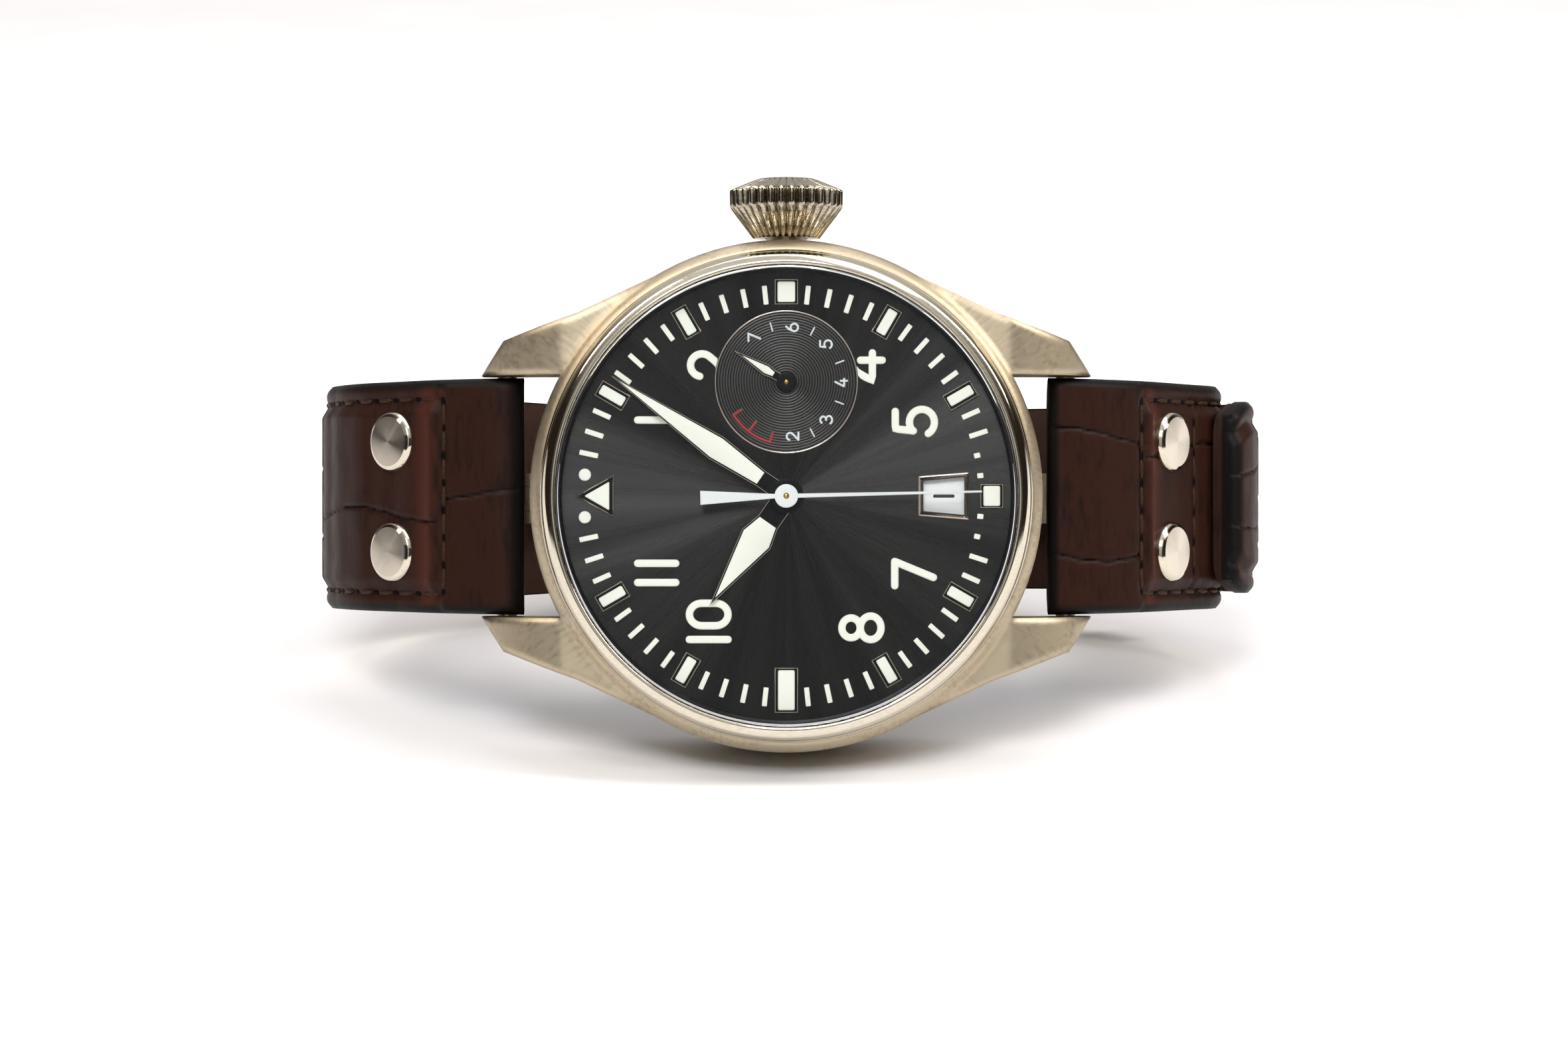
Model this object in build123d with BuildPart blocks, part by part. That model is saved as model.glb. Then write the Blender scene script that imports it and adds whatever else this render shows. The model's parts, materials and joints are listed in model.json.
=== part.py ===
from build123d import *
import os
from math import atan2, cos, degrees, pi, radians, sin

os.makedirs("parts", exist_ok=True)

# A large self-winding pilot watch on a closed leather strap with a folding clasp.
# It lies on its 9 o'clock flank with 12 o'clock to the left, and leans back on the far side
# of its strap. In the watch's own plane X runs to 3 o'clock, Y to 12 o'clock and Z out of the dial.
# Heights are measured along that Z from the rear edge of the case middle.

# Case middle and lugs
flank_radius = 23.1
flank_height = 9.0
flank_chamfer = 0.5
shoulder_setback = 0.85
shoulder_radius = flank_radius - shoulder_setback
shoulder_rise = 1.0
shoulder_height = flank_height + shoulder_rise
case_wall = 3.1
case_bore = flank_radius - case_wall
bar_stand_off = 2.5
bar_reach = flank_radius + bar_stand_off
lug_gap = 22.0
lug_width = 3.1
lug_past_bar = 2.3
lug_reach = bar_reach + lug_past_bar
lug_shoulder_past_bar = 0.1
lug_shoulder_reach = bar_reach + lug_shoulder_past_bar
lug_root_reach = 11.8
lug_hollow = 0.4
lug_back_reach = 15.0
lug_top_height = 9.3
lug_crest_reach = 22.6
lug_crest_height = 8.1
lug_tip_height = 3.0
lug_tip_low = 0.2
lug_foot_past_bar = 0.8
lug_foot_reach = bar_reach + lug_foot_past_bar
lug_foot_height = -0.7
lug_heel_height = 0.3
bar_height = 2.3
bar_hole_radius = 0.55
bar_hole_depth = 1.5

# Flats on round inner pieces, by radius
small_round = 1.6
small_facets = 18
large_round = 5.0
middle_facets = 32
large_facets = 60

# Clearances between pieces
seat_gap = 0.05
running_gap = 0.05
side_gap = 0.2
overrun = 1.0

# Bezel, crystal and the ring between crystal and dial
bezel_setback = 0.95
bezel_radius = flank_radius - bezel_setback
bezel_waist_setback = 0.15
bezel_waist_radius = bezel_radius - bezel_waist_setback
bezel_waist_rise = 0.8
bezel_waist_height = shoulder_height + bezel_waist_rise
bezel_height = 2.5
bezel_top_height = shoulder_height + bezel_height
bezel_wall = 1.05
bezel_bore = bezel_radius - bezel_wall
bezel_lip_width = 0.15
bezel_lip_radius = bezel_bore + bezel_lip_width
bezel_bulge = 0.25
bezel_bulge_share = 0.6
crystal_seat_width = 0.35
crystal_radius = bezel_bore - crystal_seat_width
crystal_edge_height = bezel_top_height
crystal_edge_thickness = 0.8
crystal_low = crystal_edge_height - crystal_edge_thickness
crystal_chamfer = 0.35
crystal_dome_rise = 1.1
crystal_dome_height = crystal_edge_height + crystal_dome_rise
crystal_thickness = 1.5
crystal_shoulder_radius = crystal_radius - crystal_chamfer
crystal_shoulder_height = crystal_edge_height + crystal_chamfer
gasket_height = 0.45
gasket_low = crystal_low - gasket_height
rehaut_top_radius = crystal_radius - seat_gap
rehaut_top_height = gasket_low - seat_gap
rehaut_slope_width = 0.55
dial_opening = rehaut_top_radius - rehaut_slope_width

# Dial
dial_setback = 0.4
dial_radius = bezel_bore - dial_setback
dial_sink = 0.4
dial_top = shoulder_height - dial_sink
dial_thickness = 0.4
dial_bore = 1.4
reserve_reach = 10.26
reserve_radius = 6.35
reserve_depth = 0.15
reserve_bore = 0.4
window_near = 12.3
window_far = 16.0
window_near_width = 2.7
window_far_width = 3.4
window_frame_width = 0.45
window_frame_height = 0.2

# Hour markers: raised frames around luminous blocks
marker_height = 0.22
lume_height = 0.3
marker_margin = 0.65
marker_outer = dial_opening - marker_margin
bar_marker_length = 2.9
bar_marker_width = 1.6
bar_lume_length = 2.4
bar_lume_width = 0.92
three_marker_length = 2.3
three_marker_width = 2.14
three_lume_length = 1.85
three_lume_width = 1.58
six_marker_length = 2.1
six_marker_width = 2.2
six_lume_length = 1.5
six_lume_width = 1.8
nine_marker_length = 4.1
nine_marker_width = 2.13
nine_lume_length = 3.6
nine_lume_width = 1.5
triangle_apex = 18.9
triangle_base = 15.5
triangle_width = 3.8
triangle_rim = 0.38
triangle_side_share = 1.6
dot_radius = 0.55
dot_reach = 18.1
dot_offset = 1.91

# Hands: each is a lance with a luminous field inside a dark frame
hand_thickness = 0.2
hand_lume_thickness = 0.06
hand_rim = 0.22
hand_tip_share = 2.6
hour_level = 10.02
minute_level = 10.6
seconds_level = 11.12
hour_length = 12.05
hour_belly_reach = 4.7
hour_belly_width = 3.15
hour_shoulder_reach = 2.9
hour_shoulder_width = 2.15
minute_length = 19.1
minute_belly_reach = 7.6
minute_belly_width = 2.4
minute_shoulder_reach = 2.8
minute_shoulder_width = 1.6
hand_hub_radius = 1.55
hour_angle = 305.0
minute_angle = 34.5
seconds_angle = 178.7
seconds_length = 17.5
seconds_tip_width = 0.2
seconds_root_width = 0.42
seconds_hub_radius = 1.08
seconds_tail_length = 7.7
seconds_tail_width = 1.27
reserve_length = 5.55
reserve_belly_reach = 2.1
reserve_belly_width = 1.1
reserve_shoulder_reach = 1.33
reserve_shoulder_width = 0.8
reserve_hub_radius = 0.87
reserve_angle = 59.2
reserve_level = 9.66
reserve_arbor_radius = 0.33

# Case back, inner iron cover and movement ring
back_setback = 1.5
back_flange_radius = flank_radius - back_setback
back_flange_thickness = 1.2
back_slope_width = 3.0
back_dome_radius = back_flange_radius - back_slope_width
back_thickness = 2.2
back_spigot_radius = case_bore - seat_gap * 2
back_spigot_height = 1.6
back_spigot_wall = 1.0
back_cavity_radius = back_spigot_radius - back_spigot_wall
back_wall = 0.9
key_slot_count = 6
key_slot_width = 3.0
key_slot_depth = 0.9
back_gasket_width = 0.6
back_gasket_height = 0.5
iron_cover_gap = 0.15
iron_cover_radius = case_bore - iron_cover_gap
iron_cover_low = 1.65
iron_cover_thickness = 0.4
movement_ring_radius = case_bore - seat_gap * 2
movement_ring_wall = 1.6
movement_radius = movement_ring_radius - movement_ring_wall

# Movement levels, from the rotor up to the dial
rotor_low = 2.35
rotor_plate = 0.5
rotor_rim_height = 1.2
rotor_edge_gap = 0.6
rotor_rim_outer = movement_radius - rotor_edge_gap
rotor_rim_width = 3.5
rotor_rim_inner = rotor_rim_outer - rotor_rim_width
rotor_hub_radius = 2.6
rotor_post_radius = 1.25
bridge_low = 4.3
bridge_thickness = 1.0
bridge_edge_gap = 0.5
bridge_radius = movement_radius - bridge_edge_gap
plate_low = 7.4
plate_thickness = 0.9
pillar_width = 1.8
pillar_inner = bridge_radius - pillar_width
date_land_inner = 11.8
date_land_height = 0.45
date_disc_edge_gap = 1.3
date_disc_outer = movement_radius - date_disc_edge_gap
date_disc_width = 5.3
date_disc_inner = date_disc_outer - date_disc_width
date_disc_thickness = 0.2
date_disc_gap = 0.08

# Going train and motion work: tooth counts and modules of the wheels that mesh
wheel_thickness = 0.2
pinion_thickness = 0.4
arbor_radius = 0.3
seconds_arbor_radius = 0.25
cannon_bore = 0.31
cannon_radius = 0.75
hour_pipe_bore = 0.82
hour_pipe_radius = 1.22
train_module = 0.24
train_wheel_teeth = 32
train_pinion_teeth = 8
barrel_module = 0.28
barrel_teeth = 48
barrel_low = 5.45
barrel_height = 1.0
barrel_rim_height = 0.5
barrel_reach = 8.6
barrel_angle = 115.0
third_level = 6.55
fourth_level = 6.95
third_pinion_low = 5.45
escape_angle = 270.0
escape_level = 6.0
escape_teeth = 15
escape_radius = 2.6
escape_root = 2.0
escape_tip_share = 0.36
escape_flat_share = 0.5
escape_heel_share = 0.58
cannon_teeth = 8
minute_wheel_teeth = 24
cannon_module = 0.375
minute_pinion_teeth = 8
hour_wheel_teeth = 32
hour_module = 0.3
motion_low = 8.4
hour_wheel_low = 8.75
minute_wheel_angle = 180.0
minute_post_radius = 0.4
tooth_root_share = 0.27
addendum_share = 0.75
dedendum_share = 1.1
pallet_angle = 215.0
pallet_reach = 3.1
pallet_thickness = 0.18
pallet_level = 6.05
pallet_arm_width = 0.35
pallet_span = 1.7
pallet_stone = 0.3
balance_reach = 4.7
balance_radius = 3.9
balance_rim_width = 0.5
balance_low = 5.5
balance_height = 0.35
balance_arm_width = 0.4
staff_radius = 0.25
hairspring_level = 6.65
hairspring_height = 0.15
hairspring_start = 0.55
hairspring_pitch = 0.34
hairspring_width = 0.1
hairspring_steps = 72
hairspring_steps_per_turn = 16
cock_width = 3.2
bridge_screw_radius = 0.9
bridge_screw_height = 0.4

# Crown, stem and the wheels on the stem
crown_height = 5.7
crown_gap = 0.3
crown_foot_radius = 2.98
crown_radius = 5.15
crown_top_radius = 2.6
crown_cone_length = 2.8
crown_band_length = 1.6
crown_cap_length = 1.0
crown_rib_count = 32
crown_rib_depth_share = 0.075
crown_bore = 1.95
crown_bore_depth = 3.4
tube_radius = 1.85
stem_passage_radius = 1.0
stem_slot_half_width = 1.4
tube_out = 2.9
crown_ring_outer = 1.93
stem_radius = 0.45
stem_inner = 9.6
tube_inner = 20.05
winding_pinion_reach = 12.2
winding_pinion_length = 1.3
winding_pinion_radius = 1.0
clutch_gap = 1.6
clutch_length = 1.4
clutch_radius = 0.9

# Strap: routes of the two halves as (turn in degrees, radius or length) legs
strap_start_before_bar = 0.4
strap_start_reach = bar_reach - strap_start_before_bar
strap_end_before_bar = 1.5
strap_end_reach = bar_reach - strap_end_before_bar
long_foot_drop = 0.4
long_start_drop = 10.0
long_lug_turn = 32.3
long_lug_radius = 16.4
long_flat = 4.2
long_side_turn = 47.7
long_side_radius = 14.5
long_corner_radius = 12.8
far_turn = 25.7
far_radius = 57.2
short_rise = 5.4
short_start_drop = 15.0
short_lug_turn = 40.3
short_lug_radius = 18.3
short_flat = 8.0
short_side_turn = 34.7
short_side_radius = 12.2
short_far_flat = 5.2
strap_padding = 4.9
strap_padding_mid = 4.3
strap_side_thickness = 3.5
strap_thickness = 2.8
strap_gap = 0.3
strap_facet_turn = 5.5
lining_thickness = 0.9
strap_lug_half_width = 10.8
strap_side_half_width = 10.6
strap_far_half_width = 9.1
strap_short_end_half_width = 8.9
tail_tip_half_width = 5.0
tail_clip_length = 6.0
far_width_reach = 16.0
strap_bore = 0.95
spring_bar_radius = 0.9
spring_bar_tip_radius = 0.5
strap_hole_radius = 0.9
strap_hole_count = 5
strap_hole_step = 6.0
rivet_radius = 2.8
rivet_head = 0.75
rivet_taper = 12.0
rivet_sink = 0.25
rivet_offset = 5.1
long_rivet_share = 0.02
short_rivet_share = 0.06
rivet_shank_radius = 0.9
rivet_shank_length = 2.2

# Folding clasp
blade_thickness = 0.9
blade_gap = 0.1
blade_half_width = 2.5
knuckle_radius = 1.2
knuckle_half_width = 1.2
knuckle_share = 1.5
clasp_pin_radius = 0.5
first_hinge_angle = -27.0
second_hinge_angle = 8.0
cover_start_angle = -13.0
cover_end_angle = 11.0
cover_wall = 1.0
cover_inner_wall = 0.7
cover_half_width = 10.4
cover_side_gap = 0.15
cover_layer_gap = 0.15
buckle_pin_radius = 0.8
fork_ear_inner = 9.1
fork_ear_radius = 1.35
fork_bar_near = 1.9
fork_bar_far = 3.6
end_bar_setback = 1.6


def stations(start, heading, legs, bend):
    """Points and headings at the leg ends of a route whose legs each run on smoothly."""
    point = Vector(*start)
    found = [(point, heading)]
    for turn, size in legs:
        if turn:
            centre = point + Vector(size, 0).rotate(Axis.Z, heading + 90 * bend)
            heading = heading + bend * turn
            point = centre + Vector(size, 0).rotate(Axis.Z, heading - 90 * bend)
        else:
            point = point + Vector(size, 0).rotate(Axis.Z, heading)
        found.append((point, heading))
    return found


def beside(station, lift, bend):
    """The point at a distance outwards from a station of a route."""
    point, heading = station
    return point + Vector(lift, 0).rotate(Axis.Z, heading - 90 * bend)


# The long half leaves the case at 12 o'clock, goes round the back and ends as the tail outside
# the short half. Its route is its inner face; the short half's route is its outer face.
long_corner_turn = 180 - long_start_drop - long_lug_turn - long_side_turn - far_turn
long_start = (-strap_start_reach, long_foot_drop)
long_heading = 180 + long_start_drop
long_near_legs = [
    (long_lug_turn / 2, long_lug_radius),
    (long_lug_turn / 2, long_lug_radius),
    (0, long_flat),
    (long_side_turn / 2, long_side_radius),
    (long_side_turn / 2, long_side_radius),
    (long_corner_turn / 2, long_corner_radius),
    (long_corner_turn / 2, long_corner_radius),
]
corner_place = stations(long_start, long_heading, long_near_legs, 1)[-1][0]
long_far_flat = (-corner_place.X - far_radius * sin(radians(far_turn))) / cos(radians(far_turn))
long_near_legs.append((0, long_far_flat))
far_start, far_heading = stations(long_start, long_heading, long_near_legs, 1)[-1]
far_centre = far_start + Vector(far_radius, 0).rotate(Axis.Z, far_heading + 90)

short_start = (strap_start_reach, short_rise)
short_heading = -short_start_drop
short_legs = [
    (short_lug_turn / 2, short_lug_radius),
    (short_lug_turn / 2, short_lug_radius),
    (0, short_flat),
    (short_side_turn / 2, short_side_radius),
    (short_side_turn / 2, short_side_radius),
]
short_side_place = stations(short_start, short_heading, short_legs, -1)[-1][0]

# The tail's straight and corner are sized so that it lies a gap outside the short half's side.
corner_gain = 1 - sin(radians(far_turn))
far_end_x = far_centre.X + far_radius * sin(radians(far_turn))
far_end_y = far_centre.Y - far_radius * cos(radians(far_turn))
tail_span_x = short_side_place.X + strap_gap - far_end_x
tail_span_y = short_side_place.Y - far_end_y
cos_far, sin_far = cos(radians(far_turn)), sin(radians(far_turn))
tail_corner_radius = (tail_span_y * cos_far - tail_span_x * sin_far) / (
    cos_far * cos_far - corner_gain * sin_far)
tail_flat = (tail_span_x - tail_corner_radius * corner_gain) / cos_far
tail_corner_turn = 90 - far_turn
short_legs = short_legs + [
    (tail_corner_turn / 2, tail_corner_radius - strap_gap),
    (tail_corner_turn / 2, tail_corner_radius - strap_gap),
    (0, short_far_flat),
]
long_tail_legs = [
    (far_turn, far_radius),
    (far_turn, far_radius),
    (0, tail_flat),
    (tail_corner_turn, tail_corner_radius),
    (short_side_turn, short_side_radius + strap_gap),
]
long_legs = long_near_legs + long_tail_legs
long_stations = stations(long_start, long_heading, long_legs, 1)
short_stations = stations(short_start, short_heading, short_legs, -1)

# How the watch lies: the rear edge of its flank and the edge of the clasp cover touch the floor.
cover_low = far_radius + strap_thickness + cover_layer_gap + cover_wall - far_centre.Y
lean = degrees(atan2(flank_radius - cover_half_width, cover_low + flank_chamfer))
lean_cos, lean_sin = cos(radians(lean)), sin(radians(lean))
left_reach = max(beside(long_stations[5], strap_side_thickness, 1).X * -1, lug_reach)
right_reach = short_side_place.X + strap_gap + strap_thickness
front_reach = max(
    bezel_waist_radius * lean_sin + bezel_waist_height * lean_cos,
    crystal_shoulder_radius * lean_sin + crystal_shoulder_height * lean_cos,
)
back_reach = cover_half_width * lean_sin + cover_low * lean_cos
watch_origin = (
    (left_reach - right_reach) / 2,
    (front_reach - back_reach) / 2,
    flank_radius * lean_cos - flank_chamfer * lean_sin,
)
WATCH = Plane(origin=watch_origin, x_dir=(0, lean_sin, lean_cos), z_dir=(0, -lean_cos, lean_sin))
RADIAL = Plane(origin=WATCH.origin, x_dir=WATCH.x_dir, z_dir=-WATCH.y_dir)
SIDE = Plane(origin=WATCH.origin, x_dir=-WATCH.y_dir, z_dir=-WATCH.x_dir)
CROWN = Plane(
    origin=WATCH.from_local_coords((0, 0, crown_height)), x_dir=WATCH.y_dir, z_dir=WATCH.x_dir)
DIAL_AXIS = Axis(WATCH.origin, WATCH.z_dir)
CROWN_AXIS = Axis(CROWN.origin, CROWN.z_dir)


def polar(reach, angle):
    """A place in the watch's plane, with the angle counted from 3 o'clock towards 12."""
    return (reach * cos(radians(angle)), reach * sin(radians(angle)))


def facet_count(radius):
    """How many flats stand for a circle on the inner pieces, which keeps their meshes light."""
    if radius < small_round:
        return small_facets
    return middle_facets if radius < large_round else large_facets


def disc(low, high, radius, bore=0, at=(0, 0), mode=Mode.ADD):
    """A round plate, pin or ring between two heights."""
    with BuildSketch(WATCH.offset(low)) as outline:
        with Locations(at):
            RegularPolygon(radius, facet_count(radius))
            if bore:
                RegularPolygon(bore, facet_count(bore), mode=Mode.SUBTRACT)
    extrude(outline.sketch, amount=high - low, mode=mode)


def prism(points, low, high, mode=Mode.ADD):
    """A plate of any outline between two heights."""
    with BuildSketch(WATCH.offset(low)) as outline:
        Polygon(*points, align=None)
    extrude(outline.sketch, amount=high - low, mode=mode)


def turned(points, mode=Mode.ADD):
    """A ring turned about the dial's axis from (radius, height) points."""
    with BuildSketch(RADIAL) as section:
        Polygon(*points, align=None)
    revolve(section.sketch, axis=DIAL_AXIS, mode=mode)


def cross_pin(place, radius, half_length, mode=Mode.ADD, start=None):
    """A round pin or bore that runs across the strap, symmetrical about its middle."""
    low = -half_length if start is None else start
    with BuildSketch(SIDE.offset(low)) as end:
        with Locations(Vector(place)):
            RegularPolygon(radius, facet_count(radius))
    extrude(end.sketch, amount=half_length - low, mode=mode)


def toothed(teeth, module, low, high, phase, at=(0, 0), mode=Mode.ADD):
    """A wheel or pinion with straight-sided teeth; phase is the angle of its first tooth."""
    tip = module * (teeth / 2 + addendum_share)
    root = module * (teeth / 2 - dedendum_share)
    points = []
    for tooth in range(teeth):
        for radius, share in ((root, -tooth_root_share), (tip, 0), (root, tooth_root_share)):
            x, y = polar(radius, phase + (tooth + share) * 360 / teeth)
            points.append((at[0] + x, at[1] + y))
    prism(points, low, high, mode)


def meshing_phase(phase, teeth, direction, other_teeth):
    """The first tooth's angle on a wheel that lies in a direction from its partner and meshes."""
    lead = (direction - phase) * teeth / 360
    return direction + 180 + (lead - 0.5) * 360 / other_teeth


def lance(length, belly_reach, belly_width, shoulder_reach, shoulder_width, inset=0):
    """Outline points of a lance hand along its own axis, or of the field inside its rim."""
    start = shoulder_reach if inset else 0
    tip_inset = inset * hand_tip_share
    return [
        (start, shoulder_width / 2 - inset),
        (shoulder_reach, shoulder_width / 2 - inset),
        (belly_reach, belly_width / 2 - inset),
        (length - tip_inset, 0),
        (belly_reach, inset - belly_width / 2),
        (shoulder_reach, inset - shoulder_width / 2),
        (start, inset - shoulder_width / 2),
    ]


def clock(points, clock_angle, at=(0, 0)):
    """Turns outline points to an angle counted clockwise from 12 o'clock."""
    turn = radians(90 - clock_angle)
    return [
        (at[0] + x * cos(turn) - y * sin(turn), at[1] + x * sin(turn) + y * cos(turn))
        for x, y in points
    ]


# Case middle: a turned ring with four lugs, bored for the movement, spring bars and crown tube.
def lug_outline(side):
    inner = lug_gap / 2
    outer = inner + lug_width
    root_height = (flank_radius ** 2 - lug_root_reach ** 2) ** 0.5
    middle_x = (lug_root_reach + lug_shoulder_reach) / 2
    middle_y = (root_height + outer) / 2 - lug_hollow
    with BuildSketch(WATCH.offset(lug_foot_height - overrun)) as outline:
        for along in (-1, 1):
            with BuildLine():
                Polyline(
                    (side * root_height, along * lug_root_reach),
                    (side * middle_y, along * middle_x),
                    (side * outer, along * lug_shoulder_reach),
                )
                Polyline(
                    (side * outer, along * lug_shoulder_reach),
                    (side * inner, along * lug_reach),
                    (side * inner, along * lug_root_reach),
                    (side * root_height, along * lug_root_reach),
                )
            make_face()
    return outline.sketch


with BuildPart() as case_middle:
    for side in (-1, 1):
        extrude(lug_outline(side), amount=flank_height + overrun - lug_foot_height)
    with BuildSketch(SIDE) as lug_side:
        for along in (-1, 1):
            with BuildLine():
                ThreePointArc(
                    (along * lug_back_reach, lug_top_height),
                    (along * lug_crest_reach, lug_crest_height),
                    (along * lug_reach, lug_tip_height),
                )
                Line((along * lug_reach, lug_tip_height), (along * lug_reach, lug_tip_low))
                ThreePointArc(
                    (along * lug_reach, lug_tip_low),
                    (along * (lug_reach + lug_foot_reach) / 2, lug_foot_height / 2),
                    (along * lug_foot_reach, lug_foot_height),
                )
                Polyline(
                    (along * lug_foot_reach, lug_foot_height),
                    (along * flank_radius, lug_heel_height),
                    (along * lug_root_reach, lug_heel_height),
                    (along * lug_root_reach, lug_top_height),
                    (along * lug_back_reach, lug_top_height),
                )
            make_face()
    extrude(lug_side.sketch, amount=flank_radius, both=True, mode=Mode.INTERSECT)
    turned([
        (case_bore, 0),
        (flank_radius - flank_chamfer, 0),
        (flank_radius, flank_chamfer),
        (flank_radius, flank_height),
        (shoulder_radius, shoulder_height),
        (bezel_bore, shoulder_height),
        (case_bore, shoulder_height),
    ])
    disc(-back_thickness, flank_height + overrun * 2, case_bore, mode=Mode.SUBTRACT)
    disc(dial_top - dial_thickness, shoulder_height + overrun, bezel_bore, mode=Mode.SUBTRACT)
    for along in (-1, 1):
        for side in (-1, 1):
            reach = lug_gap / 2 + bar_hole_depth
            near = min(side * lug_gap / 2, side * reach)
            cross_pin((along * bar_reach, bar_height), bar_hole_radius,
                      near + bar_hole_depth, Mode.SUBTRACT, start=near)
    with BuildSketch(CROWN.offset(case_bore - overrun)) as tube_seat:
        Circle(tube_radius)
    extrude(tube_seat.sketch, amount=flank_radius, mode=Mode.SUBTRACT)

with BuildPart() as bezel:
    bezel_rise = bezel_top_height - bezel_waist_height
    turned([
        (bezel_lip_radius, bezel_top_height),
        (bezel_bore, bezel_top_height - crystal_chamfer),
        (bezel_bore, shoulder_height + seat_gap),
        (bezel_radius, shoulder_height + seat_gap),
        (bezel_waist_radius, bezel_waist_height),
        (bezel_waist_radius - bezel_bulge, bezel_waist_height + bezel_rise * bezel_bulge_share),
    ])

with BuildPart() as crystal:
    turned([
        (0, crystal_dome_height),
        (crystal_shoulder_radius, crystal_shoulder_height),
        (crystal_radius, crystal_edge_height),
        (crystal_radius, crystal_low),
        (0, crystal_dome_height - crystal_thickness),
    ])

with BuildPart() as crystal_gasket:
    disc(gasket_low, crystal_low - seat_gap, bezel_bore - seat_gap * 2, dial_opening + seat_gap * 2)

with BuildPart() as rehaut_ring:
    turned([
        (dial_opening, dial_top + seat_gap),
        (bezel_bore - seat_gap, dial_top + seat_gap),
        (rehaut_top_radius, rehaut_top_height),
    ])

with BuildPart() as case_back:
    turned([
        (0, -back_thickness),
        (back_dome_radius, -back_thickness),
        (back_flange_radius, -back_flange_thickness),
        (back_flange_radius, -seat_gap),
        (back_spigot_radius, -seat_gap),
        (back_spigot_radius, back_spigot_height),
        (0, back_spigot_height),
    ])
    disc(back_wall - back_thickness, back_spigot_height, back_cavity_radius, mode=Mode.SUBTRACT)
    with BuildSketch(WATCH.offset(-back_thickness)):
        with PolarLocations(back_flange_radius, key_slot_count):
            Rectangle(key_slot_depth * 2, key_slot_width)
    extrude(amount=back_thickness - back_wall, mode=Mode.SUBTRACT)

with BuildPart() as case_back_gasket:
    disc(back_spigot_height - back_gasket_height - seat_gap * 2, back_spigot_height - seat_gap * 2,
         back_cavity_radius - seat_gap, back_cavity_radius - back_gasket_width)

with BuildPart() as iron_cover:
    disc(iron_cover_low, iron_cover_low + iron_cover_thickness, iron_cover_radius)

with BuildPart() as movement_ring:
    disc(iron_cover_low + iron_cover_thickness, dial_top - dial_thickness - seat_gap,
         movement_ring_radius, movement_radius + seat_gap)
    with BuildSketch(CROWN.offset(movement_radius - overrun)):
        Circle(stem_passage_radius)
    extrude(amount=flank_radius - movement_radius, mode=Mode.SUBTRACT)

# Crown group on the stem's axis
with BuildPart() as crown_tube:
    with BuildSketch(CROWN.offset(tube_inner)):
        Circle(tube_radius - running_gap / 2)
        Circle(stem_radius + running_gap, mode=Mode.SUBTRACT)
    extrude(amount=flank_radius + tube_out - tube_inner)


def ribbed(radius):
    """Points of the crown's ribbed outline at one radius: a crest and a valley per rib."""
    points = []
    for rib in range(crown_rib_count * 2):
        depth_share = crown_rib_depth_share if rib % 2 else 0
        points.append(polar(radius * (1 - depth_share), rib * 180 / crown_rib_count))
    return points


crown_base = flank_radius + crown_gap
crown_levels = [
    (0, crown_foot_radius),
    (crown_cone_length, crown_radius),
    (crown_cone_length + crown_band_length, crown_radius),
    (crown_cone_length + crown_band_length + crown_cap_length, crown_top_radius),
]
with BuildPart() as crown:
    for (low, low_radius), (high, high_radius) in zip(crown_levels, crown_levels[1:]):
        with BuildSketch(CROWN.offset(crown_base + low)) as lower:
            Polygon(*ribbed(low_radius), align=None)
        with BuildSketch(CROWN.offset(crown_base + high)) as upper:
            Polygon(*ribbed(high_radius), align=None)
        loft([lower.sketch, upper.sketch], ruled=True)
    with BuildSketch(CROWN.offset(crown_base - overrun)) as socket:
        Circle(crown_bore)
    extrude(socket.sketch, amount=crown_bore_depth + overrun, mode=Mode.SUBTRACT)

with BuildPart() as crown_gasket:
    with BuildSketch(CROWN.offset(crown_base + overrun)):
        Circle(crown_ring_outer)
        Circle(tube_radius + running_gap / 2, mode=Mode.SUBTRACT)
    extrude(amount=overrun)

with BuildPart() as winding_stem:
    with BuildSketch(CROWN.offset(stem_inner)):
        Circle(stem_radius)
    extrude(amount=crown_base + crown_bore_depth - stem_inner)

with BuildPart() as winding_pinion:
    with BuildSketch(CROWN.offset(winding_pinion_reach)):
        Circle(winding_pinion_radius)
        Circle(stem_radius + running_gap, mode=Mode.SUBTRACT)
    extrude(amount=winding_pinion_length)

with BuildPart() as clutch_wheel:
    with BuildSketch(CROWN.offset(winding_pinion_reach + winding_pinion_length + clutch_gap)):
        Circle(clutch_radius)
        Circle(stem_radius + running_gap, mode=Mode.SUBTRACT)
    extrude(amount=clutch_length)

# Dial with its sunk reserve field and date window
window_points = [
    (-window_near_width / 2, -window_near),
    (window_near_width / 2, -window_near),
    (window_far_width / 2, -window_far),
    (-window_far_width / 2, -window_far),
]
with BuildPart() as dial:
    disc(dial_top - dial_thickness, dial_top, dial_radius, dial_bore)
    disc(dial_top - reserve_depth, dial_top + overrun, reserve_radius, at=(reserve_reach, 0),
         mode=Mode.SUBTRACT)
    disc(dial_top - dial_thickness, dial_top, reserve_bore, at=(reserve_reach, 0),
         mode=Mode.SUBTRACT)
    prism(window_points, dial_top - dial_thickness, dial_top, Mode.SUBTRACT)

with BuildPart() as date_window_frame:
    with BuildSketch(WATCH.offset(dial_top)) as window_rim:
        Polygon(*window_points, align=None)
        offset(amount=window_frame_width, kind=Kind.INTERSECTION)
        Polygon(*window_points, align=None, mode=Mode.SUBTRACT)
    extrude(amount=window_frame_height)


def block(length, width, outer, hour):
    """Outline of a marker that ends at an outer radius, at an hour's place."""
    points = [(outer - length, -width / 2), (outer, -width / 2), (outer, width / 2),
              (outer - length, width / 2)]
    return clock(points, hour * 30)


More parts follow.
